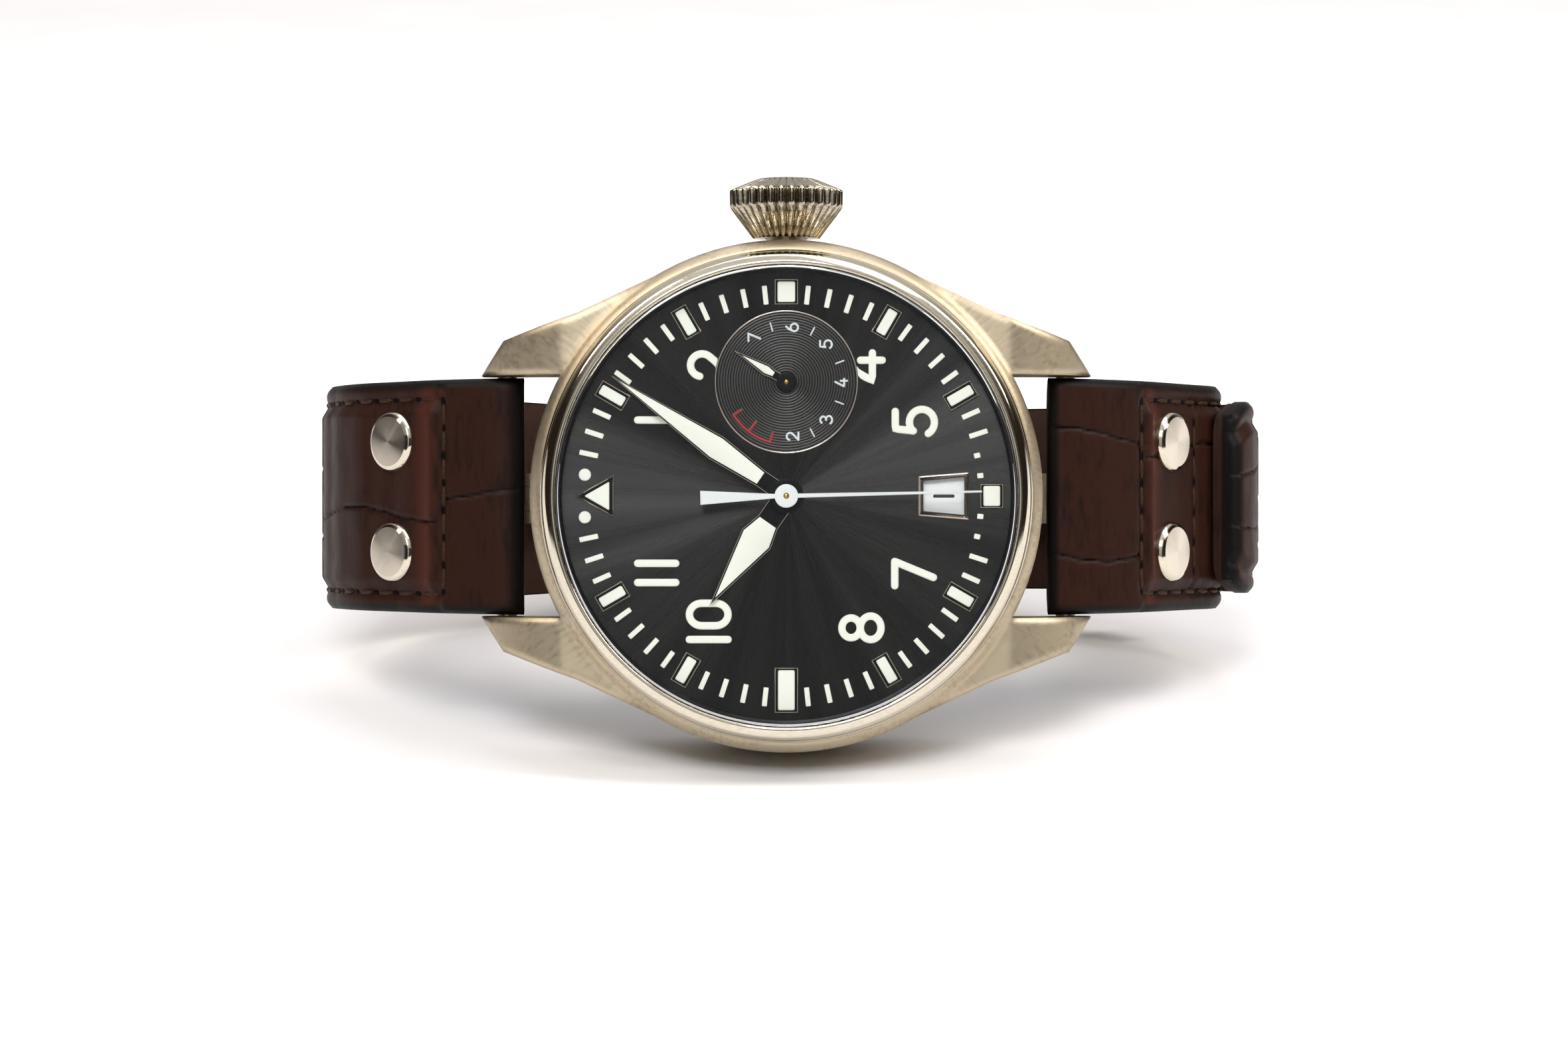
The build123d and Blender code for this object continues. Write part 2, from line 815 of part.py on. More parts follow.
marker_sizes = {
    3: (three_marker_length, three_marker_width, three_lume_length, three_lume_width),
    6: (six_marker_length, six_marker_width, six_lume_length, six_lume_width),
    9: (nine_marker_length, nine_marker_width, nine_lume_length, nine_lume_width),
}
bar_sizes = (bar_marker_length, bar_marker_width, bar_lume_length, bar_lume_width)
triangle_frame = [(triangle_base, -triangle_width / 2), (triangle_apex, 0),
                  (triangle_base, triangle_width / 2)]
triangle_lume = [
    (triangle_base + triangle_rim, triangle_rim * triangle_side_share - triangle_width / 2),
    (triangle_apex - triangle_rim * 2, 0),
    (triangle_base + triangle_rim, triangle_width / 2 - triangle_rim * triangle_side_share),
]
marker_top = dial_top + marker_height
with BuildPart() as hour_marker_lume:
    for hour in range(1, 12):
        length, width, lume_length, lume_width = marker_sizes.get(hour, bar_sizes)
        prism(block(lume_length, lume_width, marker_outer - (length - lume_length) / 2, hour),
              dial_top, dial_top + lume_height)
    prism(clock(triangle_lume, 0), dial_top, dial_top + lume_height)
    for side in (-1, 1):
        disc(dial_top, dial_top + marker_height, dot_radius, at=(side * dot_offset, dot_reach))

with BuildPart() as hour_marker_frames:
    for hour in range(1, 12):
        length, width, lume_length, lume_width = marker_sizes.get(hour, bar_sizes)
        prism(block(length, width, marker_outer, hour), dial_top, marker_top)
    prism(clock(triangle_frame, 0), dial_top, marker_top)
    for hour in range(1, 12):
        length, width, lume_length, lume_width = marker_sizes.get(hour, bar_sizes)
        prism(block(lume_length, lume_width, marker_outer - (length - lume_length) / 2, hour),
              dial_top, marker_top, Mode.SUBTRACT)
    prism(clock(triangle_lume, 0), dial_top, marker_top, Mode.SUBTRACT)

# Hands and the arbors that carry them
hour_shape = (hour_length, hour_belly_reach, hour_belly_width, hour_shoulder_reach,
              hour_shoulder_width)
minute_shape = (minute_length, minute_belly_reach, minute_belly_width, minute_shoulder_reach,
                minute_shoulder_width)
reserve_shape = (reserve_length, reserve_belly_reach, reserve_belly_width,
                 reserve_shoulder_reach, reserve_shoulder_width)
reserve_at = (reserve_reach, 0)
reserve_clock_angle = 90 - reserve_angle


def hand_plate(shape, level, angle, hub, bore, at=(0, 0)):
    """A hand's plate with its round hub, recessed for the luminous field."""
    prism(clock(lance(*shape), angle, at), level, level + hand_thickness)
    disc(level, level + hand_thickness, hub, at=at)
    if bore:
        disc(level, level + hand_thickness, bore, at=at, mode=Mode.SUBTRACT)
    prism(clock(lance(*shape, hand_rim), angle, at), level + hand_thickness - hand_lume_thickness,
          level + hand_thickness, Mode.SUBTRACT)


def hand_field(shape, level, angle, at=(0, 0)):
    """The luminous field that fills a hand's recess."""
    prism(clock(lance(*shape, hand_rim), angle, at), level + hand_thickness - hand_lume_thickness,
          level + hand_thickness)


with BuildPart() as hour_hand:
    hand_plate(hour_shape, hour_level, hour_angle, hand_hub_radius, hour_pipe_radius)
with BuildPart() as hour_hand_lume:
    hand_field(hour_shape, hour_level, hour_angle)
with BuildPart() as minute_hand:
    hand_plate(minute_shape, minute_level, minute_angle, hand_hub_radius, cannon_radius)
with BuildPart() as minute_hand_lume:
    hand_field(minute_shape, minute_level, minute_angle)
with BuildPart() as reserve_hand:
    hand_plate(reserve_shape, reserve_level, reserve_clock_angle, reserve_hub_radius, 0,
               reserve_at)
    disc(plate_low + plate_thickness + seat_gap, reserve_level, reserve_arbor_radius,
         at=reserve_at)
with BuildPart() as reserve_hand_lume:
    hand_field(reserve_shape, reserve_level, reserve_clock_angle, reserve_at)

with BuildPart() as seconds_hand:
    needle = [
        (-seconds_tail_length, -seconds_tail_width / 2),
        (0, -seconds_root_width / 2),
        (seconds_length, -seconds_tip_width / 2),
        (seconds_length, seconds_tip_width / 2),
        (0, seconds_root_width / 2),
        (-seconds_tail_length, seconds_tail_width / 2),
    ]
    prism(clock(needle, seconds_angle), seconds_level, seconds_level + hand_thickness)
    disc(seconds_level, seconds_level + hand_thickness, seconds_hub_radius)
    disc(seconds_level, seconds_level + hand_thickness, seconds_arbor_radius, mode=Mode.SUBTRACT)

# Going train: barrel, third and fourth wheels on the centre line, and the escapement
barrel_at = polar(barrel_reach, barrel_angle)
third_reach = train_module * (train_wheel_teeth + train_pinion_teeth) / 2
third_barrel_span = barrel_module * (barrel_teeth + train_pinion_teeth) / 2
third_offset = (third_reach ** 2 + barrel_reach ** 2 - third_barrel_span ** 2) / (
    2 * third_reach * barrel_reach)
third_angle = barrel_angle + degrees(atan2((1 - third_offset ** 2) ** 0.5, third_offset))
third_at = polar(third_reach, third_angle)
barrel_direction = degrees(atan2(barrel_at[1] - third_at[1], barrel_at[0] - third_at[0]))
escape_at = polar(third_reach, escape_angle)
pallet_offset = polar(pallet_reach, pallet_angle)
pallet_at = (escape_at[0] + pallet_offset[0], escape_at[1] + pallet_offset[1])
balance_offset = polar(balance_reach, pallet_angle)
balance_at = (pallet_at[0] + balance_offset[0], pallet_at[1] + balance_offset[1])
fourth_pinion_phase = third_angle
third_wheel_phase = meshing_phase(
    fourth_pinion_phase, train_pinion_teeth, third_angle, train_wheel_teeth)
third_pinion_phase = barrel_direction
barrel_phase = meshing_phase(
    third_pinion_phase, train_pinion_teeth, barrel_direction, barrel_teeth)
escape_pinion_phase = meshing_phase(0, train_wheel_teeth, escape_angle, train_pinion_teeth)
bridge_top = bridge_low + bridge_thickness
plate_top = plate_low + plate_thickness

with BuildPart() as fourth_wheel:
    toothed(train_wheel_teeth, train_module, fourth_level, fourth_level + wheel_thickness, 0)
    toothed(train_pinion_teeth, train_module, third_level - wheel_thickness / 2, fourth_level,
            fourth_pinion_phase)
    disc(bridge_top + seat_gap, third_level - wheel_thickness / 2, seconds_arbor_radius)
    disc(fourth_level + wheel_thickness, seconds_level + hand_thickness, seconds_arbor_radius)

with BuildPart() as third_wheel:
    toothed(train_wheel_teeth, train_module, third_level, third_level + wheel_thickness,
            third_wheel_phase, third_at)
    toothed(train_pinion_teeth, barrel_module, third_pinion_low,
            third_pinion_low + barrel_rim_height, third_pinion_phase, third_at)
    disc(third_pinion_low + barrel_rim_height, third_level, arbor_radius, at=third_at)
    disc(third_level + wheel_thickness, plate_low - seat_gap, arbor_radius, at=third_at)

with BuildPart() as barrel:
    toothed(barrel_teeth, barrel_module, barrel_low, barrel_low + barrel_rim_height,
            barrel_phase, barrel_at)
    barrel_drum_radius = barrel_module * (barrel_teeth / 2 - dedendum_share * 2)
    disc(barrel_low + barrel_rim_height, barrel_low + barrel_height, barrel_drum_radius,
         at=barrel_at)
    disc(barrel_low + barrel_height, plate_low - seat_gap, arbor_radius * 2, at=barrel_at)

with BuildPart() as escape_wheel:
    escape_points = []
    for tooth in range(escape_teeth):
        for radius, share in ((escape_root, 0.0), (escape_radius, escape_tip_share),
                              (escape_radius, escape_flat_share),
                              (escape_root, escape_heel_share)):
            x, y = polar(radius, (tooth + share) * 360 / escape_teeth)
            escape_points.append((escape_at[0] + x, escape_at[1] + y))
    prism(escape_points, escape_level, escape_level + wheel_thickness)
    toothed(train_pinion_teeth, train_module, fourth_level - wheel_thickness / 2,
            fourth_level + pinion_thickness - wheel_thickness / 2, escape_pinion_phase, escape_at)
    disc(escape_level + wheel_thickness, fourth_level - wheel_thickness / 2, arbor_radius,
         at=escape_at)
    disc(bridge_top + seat_gap, escape_level, arbor_radius, at=escape_at)

with BuildPart() as pallet_fork:
    to_balance = 90 - pallet_angle
    lever = [
        (-pallet_span / 3, -pallet_arm_width / 2),
        (balance_reach - staff_radius * 4, -pallet_arm_width / 2),
        (balance_reach - staff_radius * 4, pallet_arm_width / 2),
        (-pallet_span / 3, pallet_arm_width / 2),
    ]
    anchor = [
        (-pallet_stone, -pallet_span),
        (pallet_stone / 3, -pallet_span),
        (pallet_arm_width, 0),
        (pallet_stone / 3, pallet_span),
        (-pallet_stone, pallet_span),
        (-pallet_stone / 3, 0),
    ]
    prism(clock(lever, to_balance, pallet_at), pallet_level, pallet_level + pallet_thickness)
    prism(clock(anchor, to_balance, pallet_at), pallet_level, pallet_level + pallet_thickness)
    disc(bridge_top + seat_gap, plate_low - seat_gap, arbor_radius, at=pallet_at)

with BuildPart() as balance_wheel:
    disc(balance_low, balance_low + balance_height, balance_radius,
         balance_radius - balance_rim_width, at=balance_at)
    for arm in range(3):
        bar = [(0, -balance_arm_width / 2), (balance_radius - balance_rim_width / 2,
               -balance_arm_width / 2), (balance_radius - balance_rim_width / 2,
               balance_arm_width / 2), (0, balance_arm_width / 2)]
        prism(clock(bar, arm * 120, balance_at), balance_low, balance_low + balance_height)
    disc(bridge_top + seat_gap, plate_low - seat_gap, staff_radius, at=balance_at)

with BuildPart() as hairspring:
    coil_points = []
    for step in range(hairspring_steps):
        reach = hairspring_start + hairspring_pitch * step / hairspring_steps_per_turn
        x, y = polar(reach, step * 360 / hairspring_steps_per_turn)
        coil_points.append((balance_at[0] + x, balance_at[1] + y))
    with BuildSketch(WATCH.offset(hairspring_level)):
        with BuildLine():
            Polyline(*coil_points)
        trace(line_width=hairspring_width)
    extrude(amount=hairspring_height)

# Fixed frame of the movement
with BuildPart() as mainplate:
    disc(plate_low, plate_top, movement_radius)
    disc(plate_top, plate_top + date_land_height, movement_radius, date_land_inner)
    disc(plate_low, plate_top, seconds_arbor_radius + running_gap, mode=Mode.SUBTRACT)
    minute_post_at = polar(cannon_module * (cannon_teeth + minute_wheel_teeth) / 2,
                           minute_wheel_angle)
    disc(plate_top, dial_top - dial_thickness - seat_gap, minute_post_radius, at=minute_post_at)

with BuildPart() as train_bridge:
    disc(bridge_low, bridge_top, bridge_radius)
    disc(bridge_top, plate_low, bridge_radius, pillar_inner)
    clear_reach = balance_radius + side_gap * 3
    disc(bridge_low, plate_low, clear_reach, at=balance_at, mode=Mode.SUBTRACT)
    cock_direction = degrees(atan2(balance_at[1], balance_at[0]))
    cock_gap = [
        (0, -cock_width / 2 - side_gap),
        (bridge_radius + overrun, -cock_width / 2 - side_gap),
        (bridge_radius + overrun, cock_width / 2 + side_gap),
        (0, cock_width / 2 + side_gap),
    ]
    prism(clock(cock_gap, 90 - cock_direction, balance_at), bridge_low, plate_low, Mode.SUBTRACT)
    stem_slot = [
        (stem_inner - side_gap, -stem_slot_half_width),
        (bridge_radius + overrun, -stem_slot_half_width),
        (bridge_radius + overrun, stem_slot_half_width),
        (stem_inner - side_gap, stem_slot_half_width),
    ]
    prism(stem_slot, bridge_low, plate_low, Mode.SUBTRACT)

with BuildPart() as balance_cock:
    cock_length = bridge_radius - (balance_at[0] ** 2 + balance_at[1] ** 2) ** 0.5
    cock = [
        (-cock_width / 3, -cock_width / 2),
        (cock_length, -cock_width / 2),
        (cock_length, cock_width / 2),
        (-cock_width / 3, cock_width / 2),
    ]
    foot = [
        (balance_radius + side_gap, -cock_width / 2),
        (cock_length, -cock_width / 2),
        (cock_length, cock_width / 2),
        (balance_radius + side_gap, cock_width / 2),
    ]
    prism(clock(cock, 90 - cock_direction, balance_at), bridge_low, bridge_top)
    prism(clock(foot, 90 - cock_direction, balance_at), bridge_top, plate_low)

screw_angles = (20.0, 75.0, 150.0, 310.0)
with BuildPart() as bridge_screws:
    for angle in screw_angles:
        disc(bridge_low - bridge_screw_height, bridge_low, bridge_screw_radius,
             at=polar(barrel_reach + bridge_screw_radius * 2, angle))

with BuildPart() as rotor_bearing:
    disc(rotor_low, bridge_low, rotor_post_radius)

with BuildPart() as rotor:
    disc(rotor_low, rotor_low + rotor_plate, rotor_rim_outer)
    disc(rotor_low + rotor_plate, rotor_low + rotor_rim_height, rotor_rim_outer, rotor_rim_inner)
    rotor_half = [
        (0, -flank_radius),
        (flank_radius, -flank_radius),
        (flank_radius, flank_radius),
        (0, flank_radius),
    ]
    prism(rotor_half, rotor_low, rotor_low + rotor_rim_height, Mode.SUBTRACT)
    disc(rotor_low, rotor_low + rotor_plate, rotor_hub_radius)
    disc(rotor_low, rotor_low + rotor_plate, rotor_post_radius + running_gap, mode=Mode.SUBTRACT)

with BuildPart() as cannon_pinion:
    toothed(cannon_teeth, cannon_module, motion_low, motion_low + wheel_thickness, 180)
    disc(motion_low, minute_level + hand_thickness, cannon_radius)
    disc(motion_low, minute_level + hand_thickness, cannon_bore, mode=Mode.SUBTRACT)

with BuildPart() as minute_wheel:
    toothed(minute_wheel_teeth, cannon_module, motion_low, motion_low + wheel_thickness,
            meshing_phase(180, cannon_teeth, minute_wheel_angle, minute_wheel_teeth),
            minute_post_at)
    toothed(minute_pinion_teeth, hour_module, motion_low + wheel_thickness,
            hour_wheel_low + wheel_thickness, 0, minute_post_at)
    disc(motion_low, hour_wheel_low + wheel_thickness, minute_post_radius + running_gap,
         at=minute_post_at, mode=Mode.SUBTRACT)

with BuildPart() as hour_wheel:
    toothed(hour_wheel_teeth, hour_module, hour_wheel_low, hour_wheel_low + wheel_thickness,
            meshing_phase(0, minute_pinion_teeth, minute_wheel_angle + 180, hour_wheel_teeth))
    disc(hour_wheel_low, hour_level + hand_thickness, hour_pipe_radius)
    disc(hour_wheel_low, hour_level + hand_thickness, hour_pipe_bore, mode=Mode.SUBTRACT)

date_low = plate_top + date_land_height + date_disc_gap
with BuildPart() as date_disc:
    disc(date_low, date_low + date_disc_thickness, date_disc_outer, date_disc_inner)

# Spring bars in the lugs and at the short half's far end
bar_half = lug_gap / 2 - seat_gap


def spring_bar(place, half, tip_length):
    cross_pin(place, spring_bar_radius, half)
    cross_pin(place, spring_bar_tip_radius, half + tip_length)


with BuildPart() as spring_bar_12:
    spring_bar((-bar_reach, bar_height), bar_half, bar_hole_depth - side_gap)
with BuildPart() as spring_bar_6:
    spring_bar((bar_reach, bar_height), bar_half, bar_hole_depth - side_gap)


# Leather: the outer layer is padded at the lugs and thins towards the far side
long_offsets = [
    strap_padding, strap_padding, strap_padding_mid, strap_padding_mid, strap_side_thickness,
    strap_side_thickness,
]
long_offsets = long_offsets + [strap_thickness] * (len(long_stations) - len(long_offsets))


def taper_keep(sections, low, high):
    """A block between two heights whose half width follows (reach, half width) pairs."""
    upper = [(half, -reach) for reach, half in sections]
    lower = [(-half, -reach) for reach, half in reversed(sections)]
    prism(upper + lower, low, high)


side_level = long_stations[5][0].Y
loop_low = -cover_low
far_x = rivet_radius + left_reach


def eased_points(start, heading, legs, lifts, bend):
    """Points at changing distances outwards from a route, closely spaced where it bends."""
    short_pieces, short_lifts = [], [lifts[0]]
    for (turn, size), low, high in zip(legs, lifts, lifts[1:]):
        count = max(1, round(turn / strap_facet_turn))
        for step in range(1, count + 1):
            short_pieces.append((turn / count, size) if turn else (0, size / count))
            short_lifts.append(low + (high - low) * step / count)
    places = stations(start, heading, short_pieces, bend)
    return [beside(place, lift, bend) for place, lift in zip(places, short_lifts)]


def side_face(inner, outer):
    """A side outline between two lines of points that run the same way."""
    points = [(place.X, place.Y) for place in inner]
    points = points + [(place.X, place.Y) for place in reversed(outer)]
    with BuildSketch(SIDE) as face:
        Polygon(*points, align=None)
    return face.sketch


long_route = (long_start, long_heading, long_legs)
long_level = [0] * len(long_stations)
long_inner = eased_points(*long_route, long_level, 1)
long_seam = eased_points(*long_route, [lining_thickness] * len(long_stations), 1)
long_outer = eased_points(*long_route, long_offsets, 1)
long_foot = [Vector(-strap_end_reach, long_seam[0].Y), Vector(-strap_end_reach, long_outer[0].Y)]
long_outline = side_face(long_seam, [long_foot[0], long_foot[1]] + long_outer)
long_lining_outline = side_face(long_inner, long_seam)

with BuildPart() as strap_12_planform:
    taper_keep([(-far_x, strap_side_half_width), (-left_reach + rivet_radius, strap_side_half_width),
                (-strap_end_reach, strap_lug_half_width)], side_level, flank_height)
    taper_keep([(-far_x, strap_side_half_width), (-left_reach + rivet_radius, strap_side_half_width),
                (-far_width_reach, strap_far_half_width), (far_x, strap_far_half_width)],
               loop_low, side_level)
    tip_level = long_stations[-1][0].Y + strap_thickness
    taper_keep([(0, strap_far_half_width), (far_x, strap_far_half_width)], side_level, tip_level)
    for side in (-1, 1):
        clip_plane = Plane(origin=WATCH.origin, x_dir=WATCH.x_dir, z_dir=-WATCH.y_dir)
        with BuildSketch(clip_plane) as clip:
            Polygon(
                (side * tail_tip_half_width, tip_level),
                (side * (strap_lug_half_width + overrun), tip_level),
                (side * (strap_lug_half_width + overrun), tip_level - tail_clip_length),
                (side * strap_far_half_width, tip_level - tail_clip_length),
                align=None,
            )
        extrude(clip.sketch, amount=far_x, mode=Mode.SUBTRACT)

with BuildPart() as strap_6_planform:
    taper_keep([(strap_end_reach, strap_lug_half_width), (short_side_place.X - rivet_radius,
                strap_side_half_width), (far_x, strap_side_half_width)],
               short_side_place.Y, flank_height)
    short_end_x = short_stations[-1][0].X
    taper_keep([(short_end_x - overrun * 2, strap_short_end_half_width),
                (short_end_x + overrun * 2, strap_short_end_half_width),
                (short_side_place.X - rivet_radius, strap_side_half_width),
                (far_x, strap_side_half_width)], loop_low, short_side_place.Y)

rivet_places = {
    "long": (long_stations[2], long_stations[3], 1, strap_padding_mid, long_rivet_share),
    "short": (short_stations[2], short_stations[3], -1, 0, short_rivet_share),
}


def rivet_plane(half):
    """The plane of a half's rivets, on its outer face at their share of its flat leg."""
    near, far, bend, lift, share = rivet_places[half]
    middle = near[0] + (far[0] - near[0]) * share
    middle = middle + Vector(lift, 0).rotate(Axis.Z, near[1] - 90 * bend)
    outward = Vector(1, 0).rotate(Axis.Z, near[1] - 90 * bend)
    origin = SIDE.from_local_coords((middle.X, middle.Y, 0))
    normal = SIDE.from_local_coords((outward.X, outward.Y, 0)) - SIDE.origin
    return Plane(origin=origin, x_dir=WATCH.x_dir, z_dir=normal)


def rivets(half):
    plane = rivet_plane(half)
    with BuildSketch(plane.offset(-rivet_sink)) as head:
        with Locations((-rivet_offset, 0), (rivet_offset, 0)):
            Circle(rivet_radius)
    extrude(head.sketch, amount=rivet_head + rivet_sink, taper=rivet_taper)
    with BuildSketch(plane.offset(-rivet_sink - rivet_shank_length)) as shank:
        with Locations((-rivet_offset, 0), (rivet_offset, 0)):
            Circle(rivet_shank_radius)
    extrude(shank.sketch, amount=rivet_shank_length)


def rivet_seats(half):
    plane = rivet_plane(half)
    with BuildSketch(plane.offset(-rivet_sink)) as seat:
        with Locations((-rivet_offset, 0), (rivet_offset, 0)):
            Circle(rivet_radius + seat_gap)
    extrude(seat.sketch, amount=rivet_head * 2, mode=Mode.SUBTRACT)
    with BuildSketch(plane.offset(-rivet_sink - rivet_shank_length)) as hole:
        with Locations((-rivet_offset, 0), (rivet_offset, 0)):
            Circle(rivet_shank_radius + seat_gap / 2)
    extrude(hole.sketch, amount=rivet_shank_length, mode=Mode.SUBTRACT)


def far_plane(angle, radius):
    """A plane that faces outwards on the far arc, at an angle from its middle towards 6."""
    local = far_centre + Vector(radius, 0).rotate(Axis.Z, angle - 90)
    outward = Vector(1, 0).rotate(Axis.Z, angle - 90)
    normal = SIDE.from_local_coords((outward.X, outward.Y, 0)) - SIDE.origin
    return Plane(origin=SIDE.from_local_coords((local.X, local.Y, 0)), x_dir=WATCH.x_dir,
                 z_dir=normal)


buckle_angle = cover_start_angle + strap_hole_step / 2
hole_angle_step = degrees(strap_hole_step / far_radius)


def strap_holes():
    for hole in range(strap_hole_count):
        plane = far_plane(buckle_angle + hole * hole_angle_step, far_radius - overrun)
        with BuildSketch(plane) as punch:
            Circle(strap_hole_radius)
        extrude(punch.sketch, amount=strap_thickness + overrun * 2, mode=Mode.SUBTRACT)


with BuildPart() as strap_12_leather:
    extrude(long_outline, amount=strap_lug_half_width, both=True)
    add(strap_12_planform.part, mode=Mode.INTERSECT)
    cross_pin((-bar_reach, bar_height), strap_bore, flank_radius, Mode.SUBTRACT)
    rivet_seats("long")
    strap_holes()

with BuildPart() as strap_12_lining:
    extrude(long_lining_outline, amount=strap_lug_half_width, both=True)
    add(strap_12_planform.part, mode=Mode.INTERSECT)
    strap_holes()

with BuildPart() as rivets_12:
    rivets("long")

short_offsets = [
    strap_padding, strap_padding, strap_padding_mid, strap_padding_mid, strap_side_thickness,
    strap_side_thickness, strap_thickness, strap_thickness, strap_thickness,
]
short_route = (short_start, short_heading, short_legs)
short_outer = eased_points(*short_route, [0] * len(short_stations), -1)
short_seam = eased_points(
    *short_route, [lining_thickness - lift for lift in short_offsets], -1)
short_inner = eased_points(*short_route, [-lift for lift in short_offsets], -1)
short_foot = [Vector(strap_end_reach, short_outer[0].Y), Vector(strap_end_reach, short_seam[0].Y)]
short_outline = side_face(short_outer, [short_foot[0], short_foot[1]] + short_seam)
short_lining_outline = side_face(short_seam, short_inner)

# The short half's far end holds a spring bar in the middle of its thickness.
end_place, end_heading = short_stations[-1]
end_bar = end_place + Vector(end_bar_setback, 0).rotate(Axis.Z, end_heading + 180)
end_bar = end_bar + Vector(strap_thickness / 2, 0).rotate(Axis.Z, end_heading - 90)

with BuildPart() as strap_6_leather:
    extrude(short_outline, amount=strap_lug_half_width, both=True)
    add(strap_6_planform.part, mode=Mode.INTERSECT)
    cross_pin((bar_reach, bar_height), strap_bore, flank_radius, Mode.SUBTRACT)
    cross_pin((end_bar.X, end_bar.Y), strap_bore, flank_radius, Mode.SUBTRACT)
    rivet_seats("short")

with BuildPart() as strap_6_lining:
    extrude(short_lining_outline, amount=strap_lug_half_width, both=True)
    add(strap_6_planform.part, mode=Mode.INTERSECT)
    cross_pin((end_bar.X, end_bar.Y), strap_bore, flank_radius, Mode.SUBTRACT)

with BuildPart() as rivets_6:
    rivets("short")


# Folding clasp: layers inside the far arc, counted inwards from the long half's inner face
def arc_plate(inner, outer, start_angle, end_angle, half_width, near=None, mode=Mode.ADD):
    """A curved plate concentric with the far arc."""
    with BuildSketch(SIDE) as section:
        with BuildLine():
            sweep_angle = end_angle - start_angle
            low = CenterArc((far_centre.X, far_centre.Y), outer, start_angle - 90, sweep_angle)
            high = CenterArc((far_centre.X, far_centre.Y), inner, start_angle - 90, sweep_angle)
            Line(low @ 0, high @ 0)
            Line(low @ 1, high @ 1)
        make_face()
    if near is None:
        extrude(section.sketch, amount=half_width, both=True, mode=mode)
    else:
        for direction in (-1, 1):
            wall = Plane(origin=SIDE.origin, x_dir=SIDE.x_dir, z_dir=SIDE.z_dir)
            shifted = section.sketch.moved(Location(wall.z_dir * (direction * near)))
            extrude(shifted, amount=direction * (half_width - near), mode=mode)


def far_place(radius, angle):
    return far_centre + Vector(radius, 0).rotate(Axis.Z, angle - 90)


cover_inner_high = far_radius - cover_layer_gap
cover_inner_low = cover_inner_high - cover_inner_wall
middle_outer = cover_inner_low - blade_gap
middle_inner = middle_outer - blade_thickness
base_outer = middle_inner - blade_gap
base_inner = base_outer - blade_thickness
cover_outer_low = far_radius + strap_thickness + cover_layer_gap
cover_outer_high = cover_outer_low + cover_wall
hinge_radius = (base_outer + middle_inner) / 2
first_hinge = far_place(hinge_radius, first_hinge_angle)
second_hinge = far_place((middle_outer + middle_inner) / 2, second_hinge_angle)
knuckle_angle = degrees((knuckle_radius + blade_gap) / hinge_radius)

with BuildPart() as clasp_cover:
    arc_plate(cover_outer_low, cover_outer_high, cover_start_angle, cover_end_angle,
              cover_half_width)
    arc_plate(cover_inner_low, cover_inner_high, cover_start_angle, cover_end_angle,
              cover_half_width)
    arc_plate(cover_inner_low, cover_outer_high, cover_start_angle, cover_end_angle,
              cover_half_width, near=strap_far_half_width + cover_side_gap)

with BuildPart() as buckle_pin:
    with BuildSketch(far_plane(buckle_angle, cover_inner_high)):
        Circle(buckle_pin_radius)
    extrude(amount=cover_outer_low - cover_inner_high)

with BuildPart() as clasp_middle_blade:
    arc_plate(middle_inner, middle_outer, first_hinge_angle + knuckle_angle, second_hinge_angle,
              blade_half_width)
    cross_pin(second_hinge, blade_thickness / 2, blade_half_width)
    for low in (-blade_half_width, knuckle_half_width + blade_gap / 2):
        cross_pin(first_hinge, knuckle_radius, low + blade_half_width - knuckle_half_width
                  - blade_gap / 2, start=low)
        lug_side_points = [
            far_place(middle_inner, first_hinge_angle),
            far_place(middle_outer, first_hinge_angle),
            far_place(middle_outer, first_hinge_angle + knuckle_angle * knuckle_share),
            far_place(middle_inner, first_hinge_angle + knuckle_angle * knuckle_share),
        ]
        with BuildSketch(SIDE.offset(low)) as link:
            Polygon(*[(place.X, place.Y) for place in lug_side_points], align=None)
        extrude(link.sketch, amount=blade_half_width - knuckle_half_width - blade_gap / 2)
    cross_pin(first_hinge, clasp_pin_radius, flank_radius, Mode.SUBTRACT)

